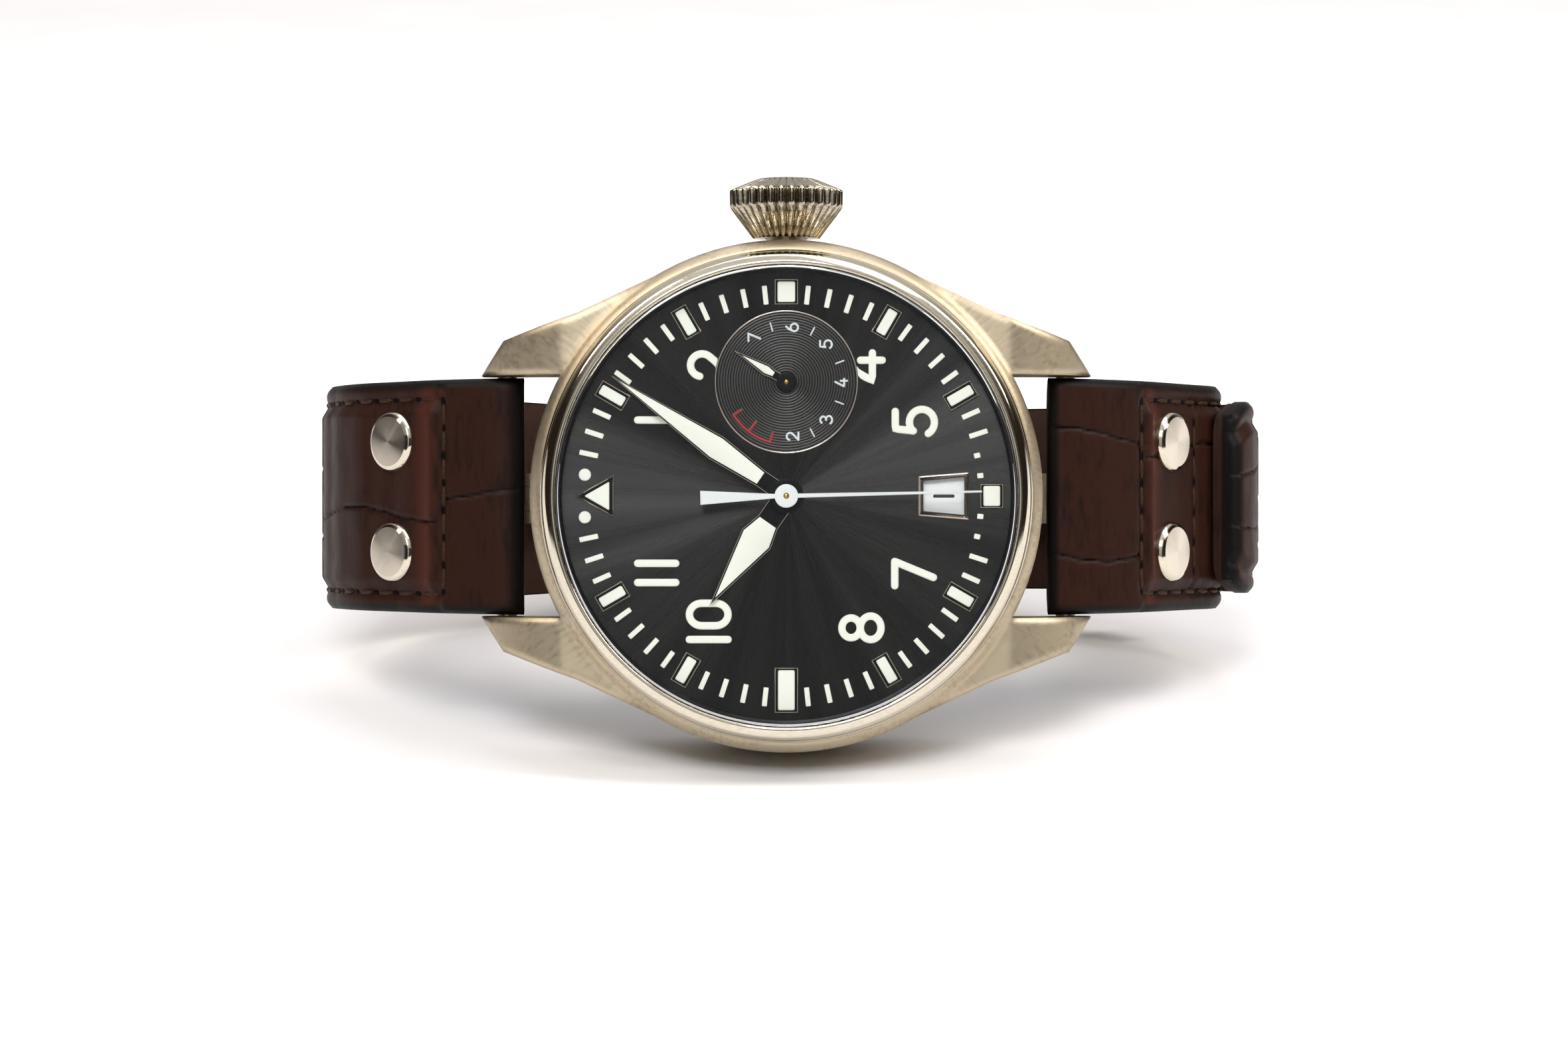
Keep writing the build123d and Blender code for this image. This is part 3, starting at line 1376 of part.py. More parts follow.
with BuildPart() as clasp_base_blade:
    arc_plate(base_inner, base_outer, first_hinge_angle + knuckle_angle, far_turn,
              blade_half_width)
    cross_pin(first_hinge, knuckle_radius, knuckle_half_width)
    base_root = [
        far_place(base_inner, first_hinge_angle),
        far_place(base_outer, first_hinge_angle),
        far_place(base_outer, first_hinge_angle + knuckle_angle * knuckle_share),
        far_place(base_inner, first_hinge_angle + knuckle_angle * knuckle_share),
    ]
    with BuildSketch(SIDE.offset(-knuckle_half_width)) as root:
        Polygon(*[(place.X, place.Y) for place in base_root], align=None)
    extrude(root.sketch, amount=knuckle_half_width * 2)
    far_edge_low = far_place(base_outer, far_turn)
    far_edge_high = far_place(base_inner, far_turn)
    along_end = Vector(1, 0).rotate(Axis.Z, far_turn)
    reach_to_bar = (end_bar - far_edge_high).dot(along_end)
    bar_far = reach_to_bar - fork_bar_near
    bar_near = reach_to_bar - fork_bar_far
    with BuildSketch(SIDE) as arm:
        Polygon(*[(place.X, place.Y) for place in (
            far_edge_low, far_edge_high, far_edge_high + along_end * bar_far,
            far_edge_low + along_end * bar_far)], align=None)
    extrude(arm.sketch, amount=blade_half_width, both=True)
    with BuildSketch(SIDE) as cross_bar:
        Polygon(*[(place.X, place.Y) for place in (
            far_edge_low + along_end * bar_near, far_edge_high + along_end * bar_near,
            far_edge_high + along_end * bar_far, far_edge_low + along_end * bar_far)], align=None)
    extrude(cross_bar.sketch, amount=cover_half_width, both=True)
    for low in (-cover_half_width, fork_ear_inner):
        with BuildSketch(SIDE.offset(low)) as ear:
            Polygon(*[(place.X, place.Y) for place in (
                far_edge_low + along_end * bar_near, far_edge_high + along_end * bar_near,
                far_edge_high + along_end * reach_to_bar,
                far_edge_low + along_end * reach_to_bar)], align=None)
            with Locations((end_bar.X, end_bar.Y)):
                Circle(fork_ear_radius)
        extrude(ear.sketch, amount=cover_half_width - fork_ear_inner)
    cross_pin(first_hinge, clasp_pin_radius + running_gap, flank_radius, Mode.SUBTRACT)
    cross_pin(end_bar, spring_bar_tip_radius + running_gap, flank_radius, Mode.SUBTRACT)

with BuildPart() as clasp_hinge_pin:
    cross_pin(first_hinge, clasp_pin_radius, blade_half_width)

with BuildPart() as clasp_spring_bar:
    spring_bar(end_bar, strap_short_end_half_width, cover_half_width - strap_short_end_half_width
               - seat_gap * 2)

pieces = {
    "case_middle": case_middle,
    "bezel": bezel,
    "crystal": crystal,
    "crystal_gasket": crystal_gasket,
    "rehaut_ring": rehaut_ring,
    "case_back": case_back,
    "case_back_gasket": case_back_gasket,
    "iron_cover": iron_cover,
    "movement_ring": movement_ring,
    "crown_tube": crown_tube,
    "crown": crown,
    "crown_gasket": crown_gasket,
    "winding_stem": winding_stem,
    "winding_pinion": winding_pinion,
    "clutch_wheel": clutch_wheel,
    "dial": dial,
    "date_window_frame": date_window_frame,
    "hour_marker_frames": hour_marker_frames,
    "hour_marker_lume": hour_marker_lume,
    "hour_hand": hour_hand,
    "hour_hand_lume": hour_hand_lume,
    "minute_hand": minute_hand,
    "minute_hand_lume": minute_hand_lume,
    "seconds_hand": seconds_hand,
    "reserve_hand": reserve_hand,
    "reserve_hand_lume": reserve_hand_lume,
    "cannon_pinion": cannon_pinion,
    "minute_wheel": minute_wheel,
    "hour_wheel": hour_wheel,
    "date_disc": date_disc,
    "mainplate": mainplate,
    "train_bridge": train_bridge,
    "balance_cock": balance_cock,
    "bridge_screws": bridge_screws,
    "barrel": barrel,
    "third_wheel": third_wheel,
    "fourth_wheel": fourth_wheel,
    "escape_wheel": escape_wheel,
    "pallet_fork": pallet_fork,
    "balance_wheel": balance_wheel,
    "hairspring": hairspring,
    "rotor_bearing": rotor_bearing,
    "rotor": rotor,
    "spring_bar_12": spring_bar_12,
    "spring_bar_6": spring_bar_6,
    "strap_12_leather": strap_12_leather,
    "strap_12_lining": strap_12_lining,
    "rivets_12": rivets_12,
    "strap_6_leather": strap_6_leather,
    "strap_6_lining": strap_6_lining,
    "rivets_6": rivets_6,
    "clasp_cover": clasp_cover,
    "buckle_pin": buckle_pin,
    "clasp_middle_blade": clasp_middle_blade,
    "clasp_base_blade": clasp_base_blade,
    "clasp_hinge_pin": clasp_hinge_pin,
    "clasp_spring_bar": clasp_spring_bar,
}
for name, piece in pieces.items():
    piece.part.label = name
    export_step(piece.part, f"parts/{name}.step")

print("lean", round(lean, 3), "origin", [round(value, 4) for value in watch_origin])
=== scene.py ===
import json
from math import copysign, cos, hypot, pi, radians, sin, sqrt

import bpy
import numpy as np
from mathutils import Matrix, Vector
from mathutils.geometry import tessellate_polygon


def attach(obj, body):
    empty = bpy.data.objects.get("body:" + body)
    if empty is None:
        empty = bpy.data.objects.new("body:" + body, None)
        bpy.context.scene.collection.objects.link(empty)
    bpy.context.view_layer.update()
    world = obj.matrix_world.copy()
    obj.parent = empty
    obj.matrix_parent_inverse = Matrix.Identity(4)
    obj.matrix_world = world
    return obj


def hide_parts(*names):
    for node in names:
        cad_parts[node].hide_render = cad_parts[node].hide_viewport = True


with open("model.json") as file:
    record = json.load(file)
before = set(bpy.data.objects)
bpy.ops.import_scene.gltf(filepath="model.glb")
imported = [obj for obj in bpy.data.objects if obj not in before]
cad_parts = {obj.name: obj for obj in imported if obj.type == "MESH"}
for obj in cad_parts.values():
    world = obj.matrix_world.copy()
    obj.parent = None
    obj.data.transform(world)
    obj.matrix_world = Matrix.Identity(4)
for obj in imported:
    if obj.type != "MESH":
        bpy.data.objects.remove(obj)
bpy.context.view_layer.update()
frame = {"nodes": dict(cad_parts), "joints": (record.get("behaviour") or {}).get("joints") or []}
scene = bpy.context.scene
MM = 0.001

# Heights over the watch's origin, in mm
STEM_HEIGHT, DATE_TOP, DIAL_TOP, HOUR_LEVEL = 5.7, 9.03, 9.6, 10.02
RESERVE_AT, FIELD_RADIUS = (10.26, 0.0), 6.35

# The watch's own axes, from its joints: U to 3 o'clock, V to 12 o'clock, N out of the dial
joints = {joint["name"]: joint for joint in frame["joints"]}
N = -Vector(joints["minute_turn"]["axis"]).normalized()
U = Vector(joints["crown_turn"]["axis"]).normalized()
V = N.cross(U)
ORIGIN = Vector(joints["minute_turn"]["pos_m"]) - N * HOUR_LEVEL * MM


def axes(x, y, z, origin):
    """A matrix from three directions and an origin in metres."""
    return Matrix.Translation(origin) @ Matrix((x, y, z)).transposed().to_4x4()


def spot(x, y, z):
    """A place in the watch's own mm, in metres."""
    return ORIGIN + (U * x + V * y + N * z) * MM


def placed(name, data):
    """An object in the scene from its mesh, lamp or camera."""
    made = bpy.data.objects.new(name, data)
    scene.collection.objects.link(made)
    return made


WATCH = axes(U, V, N, ORIGIN)
CROWN = axes(V, N, U, spot(0, 0, STEM_HEIGHT))

# Camera: along the dial's normal from about 36 cm, as the picture was taken
PICTURE_WIDTH, PICTURE_FOCAL, SENSOR = 2361.0, 5855.0, 36.0
camera = placed("camera", bpy.data.cameras.new("camera"))
camera.data.lens = PICTURE_FOCAL / PICTURE_WIDTH * SENSOR
camera.data.sensor_width = SENSOR
camera.data.clip_start = 0.01
camera.matrix_world = axes(-V, U, N, spot(-2.2, 0.21, 359.0))
scene.camera = camera
scene.view_settings.view_transform = "Standard"


# Materials
def colour(code):
    """A colour written as sRGB hex, as linear values."""
    parts = [int(code[i:i + 2], 16) / 255 for i in (0, 2, 4)]
    return [c / 12.92 if c <= 0.04045 else ((c + 0.055) / 1.055) ** 2.4 for c in parts] + [1.0]


def fill(tree, node, sockets):
    """Gives sockets a value, or links them to a socket or to a node's first output."""
    for key, value in sockets.items():
        socket = node.inputs[key.replace("_", " ") if isinstance(key, str) else key]
        if isinstance(value, bpy.types.Node):
            value = value.outputs[0]
        if isinstance(value, bpy.types.NodeSocket):
            tree.links.new(value, socket)
        else:
            socket.default_value = value


def add(tree, kind, *inputs, stops=(), **named):
    """Adds a node: its first inputs in turn, its colour stops, and others by name.

    A name with a capital is a socket, and one in small letters is an option."""
    node = tree.nodes.new("ShaderNode" + kind)
    for place, code in stops[1:-1]:
        node.color_ramp.elements.new(place)
    for index, (place, code) in enumerate(stops):
        point = node.color_ramp.elements[index]
        point.position, point.color = place, colour(code)
    for key in [key for key in named if key[0].islower()]:
        setattr(node, key, named.pop(key))
    fill(tree, node, dict(enumerate(inputs)) | named)
    return node


def begin(name):
    """A new material and its node tree."""
    made = bpy.data.materials.new(name)
    made.use_nodes = True
    return made, made.node_tree


def dress(made, tones, rough=None, relief=None, **sockets):
    """A material's surface: tones are marks and the colours they give, rough is marks and a
    range, relief is marks, a depth in mm, a strength and what lies under, the rest is even."""
    tree = made.node_tree
    if tones:
        sockets["Base_Color"] = add(tree, "ValToRGB", tones[0], stops=tones[1:])
    if rough:
        sockets["Roughness"] = add(tree, "MapRange", rough[0], To_Min=rough[1], To_Max=rough[2])
    if relief:
        under = {"Normal": relief[3]} if relief[3:] else {}
        sockets["Normal"] = add(tree, "Bump", Height=relief[0], Distance=relief[1] * MM,
                                Strength=relief[2], **under)
    fill(tree, tree.nodes["Principled BSDF"], sockets)
    return made


def watch_place(tree, matrix, ringed=False):
    """Places in mm in the axes of the watch or a piece; ringed gives (angle, radius, height).

    They are the piece's own places at rest, so a pattern moves with its piece. Without axes,
    they are the room's places in metres."""
    if matrix is None:
        return add(tree, "NewGeometry").outputs["Position"]
    from_origin = add(tree, "VectorMath", add(tree, "TexCoord").outputs["Object"],
                      matrix.to_translation(), operation="SUBTRACT")
    along = [add(tree, "VectorMath", from_origin, matrix.col[column].to_3d() / MM,
                 operation="DOT_PRODUCT").outputs["Value"] for column in range(3)]
    if ringed:
        flat = add(tree, "CombineXYZ", *along[:2])
        along[:2] = [add(tree, "Math", along[1], along[0], operation="ARCTAN2"),
                     add(tree, "VectorMath", flat, operation="LENGTH").outputs["Value"]]
    return add(tree, "CombineXYZ", *along)


def grain(tree, place, per_mm, detail=3.0):
    """Noise from 0 to 1 with a number of grains per mm along each axis."""
    scaled = add(tree, "VectorMath", place, per_mm, operation="MULTIPLY")
    return add(tree, "TexNoise", Vector=scaled, Scale=1.0, Detail=detail)


def turned_tangent(tree, matrix, first, second):
    """The way the brushing runs about a middle: two directions weighed by the place's x and y."""
    place = add(tree, "SeparateXYZ", watch_place(tree, matrix))
    parts = [add(tree, "VectorMath", direction, Scale=place.outputs[index], operation="SCALE")
             for index, direction in enumerate((first, second))]
    return add(tree, "VectorMath", add(tree, "VectorMath", *parts, operation="ADD"),
               operation="NORMALIZE")


def surface(name, per_mm, tones, rough=None, relief=None, detail=3.0, matrix=WATCH,
            ringed=False, **sockets):
    """A material with one grain, which marks its colour, its roughness and its relief."""
    made, tree = begin(name)
    marks = grain(tree, watch_place(tree, matrix, ringed), per_mm, detail)
    return dress(made, (marks, *tones), rough and (marks, *rough), relief and (marks, *relief),
                 **sockets)


def satin_steel():
    # Steel satin-brushed outwards from the dial: hairlines that give the lugs a warm grey glow.
    made, tree = begin("brushed_steel_case")
    place = watch_place(tree, WATCH, ringed=True)
    lines, wide = grain(tree, place, (70.0, 0.5, 3.0)), grain(tree, place, (6.0, 0.3, 0.5))
    mixed = add(tree, "MapRange", add(tree, "Math", lines, wide, operation="ADD"), To_Max=0.5)
    rounded = add(tree, "Bevel", Radius=1.1 * MM, samples=8)
    return dress(made, (mixed, (0.3, "978c78"), (0.7, "c8bba3")), (lines, 0.36, 0.5),
                 (lines, 0.012, 0.8, rounded), Metallic=1.0)


def mirror_steel(name, tone, rough):
    # Mirror-polished steel: sharp reflections with a breath of fine wiping marks.
    return surface(name, (9.0, 1.4, 9.0), [(0.2, tone), (0.9, "dcd5c6")], (rough, rough + 0.07),
                   detail=4.0, Metallic=1.0)


def dial_finish():
    # Sunburst-brushed slate dial under clear lacquer: bright fans that turn with the light.
    made, tree = begin("sunburst_dial")
    place = watch_place(tree, WATCH, ringed=True)
    rays = grain(tree, place, (38.0, 0.03, 0.1), 4.0)
    broad = grain(tree, place, (7.0, 0.02, 0.1), 2.0)
    return dress(made, (broad, (0.25, "211f1e"), (0.75, "383633")), (rays, 0.22, 0.34),
                 (rays, 0.002, 0.4), Tangent=turned_tangent(tree, WATCH, V, -U),
                 Metallic=0.9, Anisotropic=0.93, Coat_Weight=0.25, Coat_Roughness=0.08)


def sunk_finish():
    # The reserve field is turned in fine circles, which shimmer against the brushed dial.
    # A turn is 0.24 mm wide, coarser than the real tool's, so that it shows.
    made, tree = begin("azure_turned_field")
    place = watch_place(tree, axes(U, V, N, spot(*RESERVE_AT, 0)), ringed=True)
    radius = add(tree, "SeparateXYZ", place).outputs[1]
    turns = add(tree, "Math", radius, 26.0, operation="MULTIPLY")
    tone = add(tree, "MapRange", add(tree, "Math", turns, operation="SINE"), From_Min=-1.0)
    return dress(made, (tone, (0.1, "242220"), (0.9, "4a4743")), (tone, 0.3, 0.45),
                 (tone, 0.02, 0.9), Metallic=0.8, Anisotropic=0.5)


def lacquer(name, low, high, rough, coat=0.5):
    # Glossy enamel on a thin plate, with the slight orange-peel of a sprayed coat.
    return surface(name, (5.0, 5.0, 5.0), [(0.2, low), (0.8, high)], (rough, rough + 0.12),
                   (0.004, 0.5), Coat_Weight=coat, Coat_Roughness=0.05, Specular_IOR_Level=coat)


def sapphire():
    # Clear sapphire with a thin anti-glare coat: it shows as a faint blue edge and soft glints.
    made, tree = begin("sapphire_crystal")
    tree.nodes.remove(tree.nodes["Principled BSDF"])
    haze = grain(tree, watch_place(tree, WATCH), (0.5, 0.5, 0.5))
    clear = add(tree, "BsdfTransparent", Color=colour("fbfdff"))
    gloss = add(tree, "BsdfAnisotropic", Color=colour("e6e9f2"),
                Roughness=add(tree, "MapRange", haze, To_Min=0.015, To_Max=0.04))
    mixed = add(tree, "MixShader", add(tree, "Fresnel", IOR=1.2), clear, gloss)
    fill(tree, tree.nodes["Material Output"], {"Surface": mixed})
    return made


def hide(name, low, mid, high, rough):
    # Semi-gloss dyed hide: fine pores and creases, with painted shade darkening the seams between
    # scales.
    made, tree = begin(name)
    place = watch_place(tree, WATCH)
    cloud = grain(tree, place, (0.22, 0.22, 0.22), 4.0)
    streak = grain(tree, place, (0.5, 2.6, 0.9), 5.0)
    mixed = add(tree, "MapRange", add(tree, "Math", cloud, streak, operation="ADD"),
                To_Min=-0.25, To_Max=0.75)
    tone = add(tree, "ValToRGB", mixed, stops=[(0.2, low), (0.55, mid), (0.95, high)])
    # Masks over the hide's own tones: fold gives a reddish band, seam paints shade into the seams
    # between scales, edge is the black edge paint
    for mask, mask_tone in (("fold", "3a1c14"), ("seam", "0a0504"), ("edge", "0c0a0a")):
        share = add(tree, "Attribute", attribute_name=mask).outputs["Fac"]
        tone = add(tree, "Mix", Factor=share, A=tone, B=colour(mask_tone),
                   data_type="RGBA").outputs["Result"]
    pores = add(tree, "TexVoronoi", Vector=place, Scale=3.2)
    pitted = add(tree, "Bump", Height=pores, Distance=0.03 * MM, Strength=0.35)
    return dress(made, None, (streak, rough - 0.08, rough + 0.14), (streak, 0.03, 0.5, pitted),
                 Base_Color=tone, Specular_IOR_Level=0.09)


def thread(name, low, high, gloss=0.4):
    # Waxed linen thread: twisted strands that catch small highlights.
    return surface(name, (6.0, 6.0, 6.0), [(0.3, low), (0.75, high)], relief=(0.05, 0.8),
                   detail=2.0, Roughness=0.55, Specular_IOR_Level=gloss)


def plated(name, low, high, rough=0.3, ringed=False):
    # Metal with a fine grain, straight or in rings about the dial's middle: a soft even sheen.
    return surface(name, (1.0, 16.0, 1.0), [(0.3, low), (0.8, high)], (rough, rough + 0.15),
                   (0.01, 0.5), ringed=ringed, Metallic=1.0)


def rivet_finish(matrix, index):
    # Lathe-turned steel: a bright cross of light that turns about the rivet's middle.
    made, tree = begin(f"turned_rivet_top_{index}")
    lines = grain(tree, watch_place(tree, matrix, ringed=True), (0.0, 14.0, 0.0), 2.0)
    across, upward = (matrix.col[column].to_3d().normalized() for column in (0, 1))
    return dress(made, (lines, (0.25, "c4baab"), (0.75, "dfd7ca")), (lines, 0.15, 0.22),
                 (lines, 0.002, 0.25), Tangent=turned_tangent(tree, matrix, across, upward),
                 Metallic=1.0, Anisotropic=0.93)


case_steel = satin_steel()
polished = mirror_steel("mirror_polished_steel", "beb6a3", 0.05)
# The crown's steel is a darker, olive copy of the polished steel: painted shade
crown_painted_shade_steel = mirror_steel("polished_crown_steel_painted_shade", "6b5e44", 0.1)
# Bright bevels: polished steel with a lighter, pinkish tone, a painted highlight and warm
# reflection
bright_edge = mirror_steel("diamond_cut_steel_painted_reflection", "e2cbbb", 0.08)
sunburst = dial_finish()
turned_field = sunk_finish()
# Luminous paint: an ivory, slightly chalky fill with a faint grain, and a faint ivory emission
# that is a painted glow
lume = surface("luminous_paint_painted_glow", (14.0, 14.0, 14.0), [(0.2, "efecd6"), (0.8, "fbf9ea")],
               relief=(0.01, 0.4), Roughness=0.62, Specular_IOR_Level=0.35,
               Emission_Color=colour("fffbe6"), Emission_Strength=0.16)
black_lacquer = lacquer("black_lacquered_frames", "060607", "0c0c0d", 0.3, 0.12)
white_lacquer = lacquer("white_lacquer", "f8f6ee", "fffdf5", 0.35)
black_ink = lacquer("black_printing", "111111", "1b1b1b", 0.4)
white_ink = lacquer("white_printing", "e6e6e2", "f4f4f0", 0.4)
red_ink = lacquer("red_printing", "9c1512", "b5201a", 0.4)
rehaut_black = lacquer("black_flange_ring", "0d0d0e", "1a1a1b", 0.3)
clear_sapphire = sapphire()
alligator = hide("glazed_alligator", "0a0503", "1d0e09", "2d150d", 0.46)
# The lining's tones are darker than its own brown: painted shade, for the far lining that sits in
# shadow
lining_hide_painted_shade = hide("calf_lining_painted_shade", "160d0a", "241612", "34211a", 0.6)
brown_thread = thread("waxed_thread", "190e07", "3a2310", 0.15)
# A needle hole is raw hide in shade: near black, without gloss
dark_hole = thread("needle_holes", "050303", "0a0605", 0.05)
# Moulded rubber: a black skin with a soft sheen and a fine unevenness
rubber_black = thread("moulded_rubber", "0b0b0b", "161616")
rhodium = plated("nickel_plated_brass", "a9a39a", "cfc9bf")
gilt = plated("gilt_brass", "a98545", "d6b168")
clasp_steel = plated("brushed_steel_clasp", "8d8574", "b9af9a")
turned_back = plated("circular_brushed_steel_back", "8d8574", "b9af9a", ringed=True)
hard_steel = plated("ground_steel", "8f8c86", "bdb9b1", 0.22)

# The record's material slot for each finish of a new piece
SLOTS = {finish.name: slot for slot, finishes in {
    "polished_steel": [polished, crown_painted_shade_steel, bright_edge], "sapphire": [clear_sapphire],
    "rehaut": [rehaut_black], "gasket": [rubber_black], "dial": [sunburst, turned_field],
    "lume": [lume], "white_lacquer": [white_lacquer, white_ink], "brass": [gilt],
    "marker": [black_ink, red_ink, black_lacquer], "lining": [lining_hide_painted_shade],
    "alligator": [alligator, brown_thread, dark_hole]}.items() for finish in finishes}


# Mesh builders: all take mm in the axes of the matrix they are given
def piece(name, shape, finish, body="case", matrix=WATCH, nodes=(), angle=35, attributes={}):
    """A mesh from mm places in a matrix's axes, on its body, with its finish."""
    verts, faces = joined(shape) if isinstance(shape, list) else shape
    mesh = bpy.data.meshes.new(name)
    turned_places = (np.array(verts, float) * MM) @ np.array(matrix.to_3x3()).T
    mesh.from_pydata((turned_places + np.array(matrix.to_translation())).tolist(), [], faces)
    for key, values in attributes.items():
        layer = mesh.attributes.new(key, "FLOAT", "POINT")
        layer.data.foreach_set("value", np.asarray(values, np.float32))
    mesh.validate()
    mesh.shade_smooth()
    mesh.set_sharp_from_angle(angle=radians(angle))
    mesh.materials.append(finish)
    made = placed(name, mesh)
    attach(made, body)
    if nodes:
        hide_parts(*nodes)
    return made


def unit(vectors):
    """Vectors made one long."""
    return vectors / np.maximum(np.linalg.norm(vectors, axis=-1, keepdims=True), 1e-9)


def quads(rows, count, closed=True):
    """Faces between rows of as many points each, all the way round where the rows are closed."""
    return [(r * count + i, r * count + (i + 1) % count, (r + 1) * count + (i + 1) % count,
             (r + 1) * count + i) for r in range(rows - 1)
            for i in range(count if closed else count - 1)]


def capped(rows, count):
    """The faces of a closed skin: its rows, and one face at each end."""
    return quads(rows, count) + [tuple(range(count - 1, -1, -1)),
                                 tuple(range((rows - 1) * count, rows * count))]


def polar(radius, angle, centre=(0, 0)):
    """A place at a radius and an angle in degrees about a centre."""
    turn = radians(angle)
    return centre[0] + radius * cos(turn), centre[1] + radius * sin(turn)


def filleted(points, radius, steps=4, closed=True):
    """Rounds the corners of an outline."""
    out = []
    count = len(points)
    for i, point in enumerate(points):
        if not closed and i in (0, count - 1):
            out.append(tuple(point))
            continue
        here = np.array(point, float)
        back = np.array(points[i - 1], float) - here
        ahead = np.array(points[(i + 1) % count], float) - here
        reach = min(radius, np.linalg.norm(back) * 0.45, np.linalg.norm(ahead) * 0.45)
        start, end = here + unit(back) * reach, here + unit(ahead) * reach
        for t in np.linspace(0, 1, steps + 1):
            rounded = start * (1 - t) ** 2 + here * 2 * t * (1 - t) + end * t ** 2
            out.append((float(rounded[0]), float(rounded[1])))
    return out


def lathed(profile, segments, closed=True):
    """A (radius, height) profile turned about Z."""
    verts = [(*polar(radius, 360 * i / segments), height) for i in range(segments)
             for radius, height in profile]
    faces = [tuple(index % len(verts) for index in (a, d, c, b))
             for a, b, c, d in quads(segments + 1, len(profile), closed)]
    return verts, faces


def moved(shape, centre):
    """A shape moved in the dial's plane."""
    return [(x + centre[0], y + centre[1], z) for x, y, z in shape[0]], shape[1]


def joined(shapes):
    """Several shapes as one."""
    verts, faces = [], []
    for more_verts, more_faces in shapes:
        base = len(verts)
        verts.extend(more_verts)
        faces.extend(tuple(base + i for i in face) for face in more_faces)
    return verts, faces


def slab(loops, low, high, chamfer=0.0):
    """A flat plate from outlines (the first is outside, the rest are holes), edges chamfered."""
    layers = [(low, 0.0), (high - chamfer, 0.0), (high, chamfer)][:None if chamfer else 2]
    verts, faces = [], []
    for height, inset in layers:
        for index, loop in enumerate(loops):
            points = np.array(loop, float)
            after, before = np.roll(points, -1, 0), np.roll(points, 1, 0)
            ahead, back = unit(after - points), unit(points - before)
            area = 0.5 * np.sum(points[:, 0] * after[:, 1] - after[:, 0] * points[:, 1])
            turn = 1 if (area > 0) == (index == 0) else -1
            normal = unit(np.stack([-(ahead + back)[:, 1], (ahead + back)[:, 0]], 1))
            cosine = np.sum(normal * np.stack([-ahead[:, 1], ahead[:, 0]], 1), axis=1)
            shifted = points + normal * (inset * turn / np.clip(cosine, 0.4, 1))[:, None]
            verts.extend((x, y, height) for x, y in shifted)
    layer_size = len(verts) // len(layers)
    for level in range(len(layers) - 1):
        start = level * layer_size
        for loop in loops:
            for i in range(len(loop)):
                a, b = start + i, start + (i + 1) % len(loop)
                faces.append((a, b, b + layer_size, a + layer_size))
            start += len(loop)
    top = (len(layers) - 1) * layer_size
    for a, b, c in tessellate_polygon([[Vector((x, y, 0)) for x, y in loop] for loop in loops]):
        faces += [(top + a, top + b, top + c), (a, c, b)]
    return verts, faces


def ring_loop(radius, centre=(0, 0), count=96):
    """The outline of a circle."""
    return [polar(radius, 360 * i / count, centre) for i in range(count)]


def spun(points, angle, at=(0, 0)):
    """Points turned by an angle in degrees, about a middle that moves to a place."""
    c, s = polar(1, angle)
    return [(at[0] + x * c - y * s, at[1] + x * s + y * c) for x, y in points]


def clocked(points, clock_angle, at=(0, 0)):
    """Turns (outwards, sideways) points to an angle counted clockwise from 12 o'clock."""
    return spun(points, 90 - clock_angle, at)


def box_loop(near, far, width, radius):
    """The outline of a rounded box that lies outwards."""
    return filleted([(near, -width / 2), (far, -width / 2), (far, width / 2),
                     (near, width / 2)], radius)


def stroke(points, width, height, level):
    """A rounded line of paint along a path, with a domed section and round ends."""
    path = np.array(points, float)
    ahead = unit(np.gradient(path, axis=0))
    quarter = [(sin(turn) * width / 2, max(cos(turn), 0.02))
               for turn in (pi / 2 * step / 4 for step in range(1, 5))]
    sections = [(path[0] - ahead[0] * out, ahead[0], share) for out, share in quarter[::-1]]
    sections += [(place, direction, 1.0) for place, direction in zip(path, ahead)]
    sections += [(path[-1] + ahead[-1] * out, ahead[-1], share) for out, share in quarter]
    verts, sides = [], 9
    for place, direction, share in sections:
        side = np.array([-direction[1], direction[0]])
        for k in range(sides):
            angle = pi * k / (sides - 1)
            flat = place + side * cos(angle) * width / 2 * share
            rise = sin(angle) ** 0.5 * height * min(1.0, share * 1.5)
            verts.append((flat[0], flat[1], level + rise))
    return verts, quads(len(sections), sides, False)


# Figures, as centre lines in a unit box
def bow(cx, cy, rx, ry, start, end, count=20):
    """Part of an ellipse, by its middle, radii and angles."""
    around_it = [polar(1, start + (end - start) * i / count) for i in range(count + 1)]
    return [(cx + rx * x, cy + ry * y) for x, y in around_it]


def straight(*corners, count=6):
    """Straight lines through corners."""
    out = []
    for (x0, y0), (x1, y1) in zip(corners, corners[1:]):
        out += [(x0 + (x1 - x0) * i / count, y0 + (y1 - y0) * i / count) for i in range(count)]
    return out + [corners[-1]]


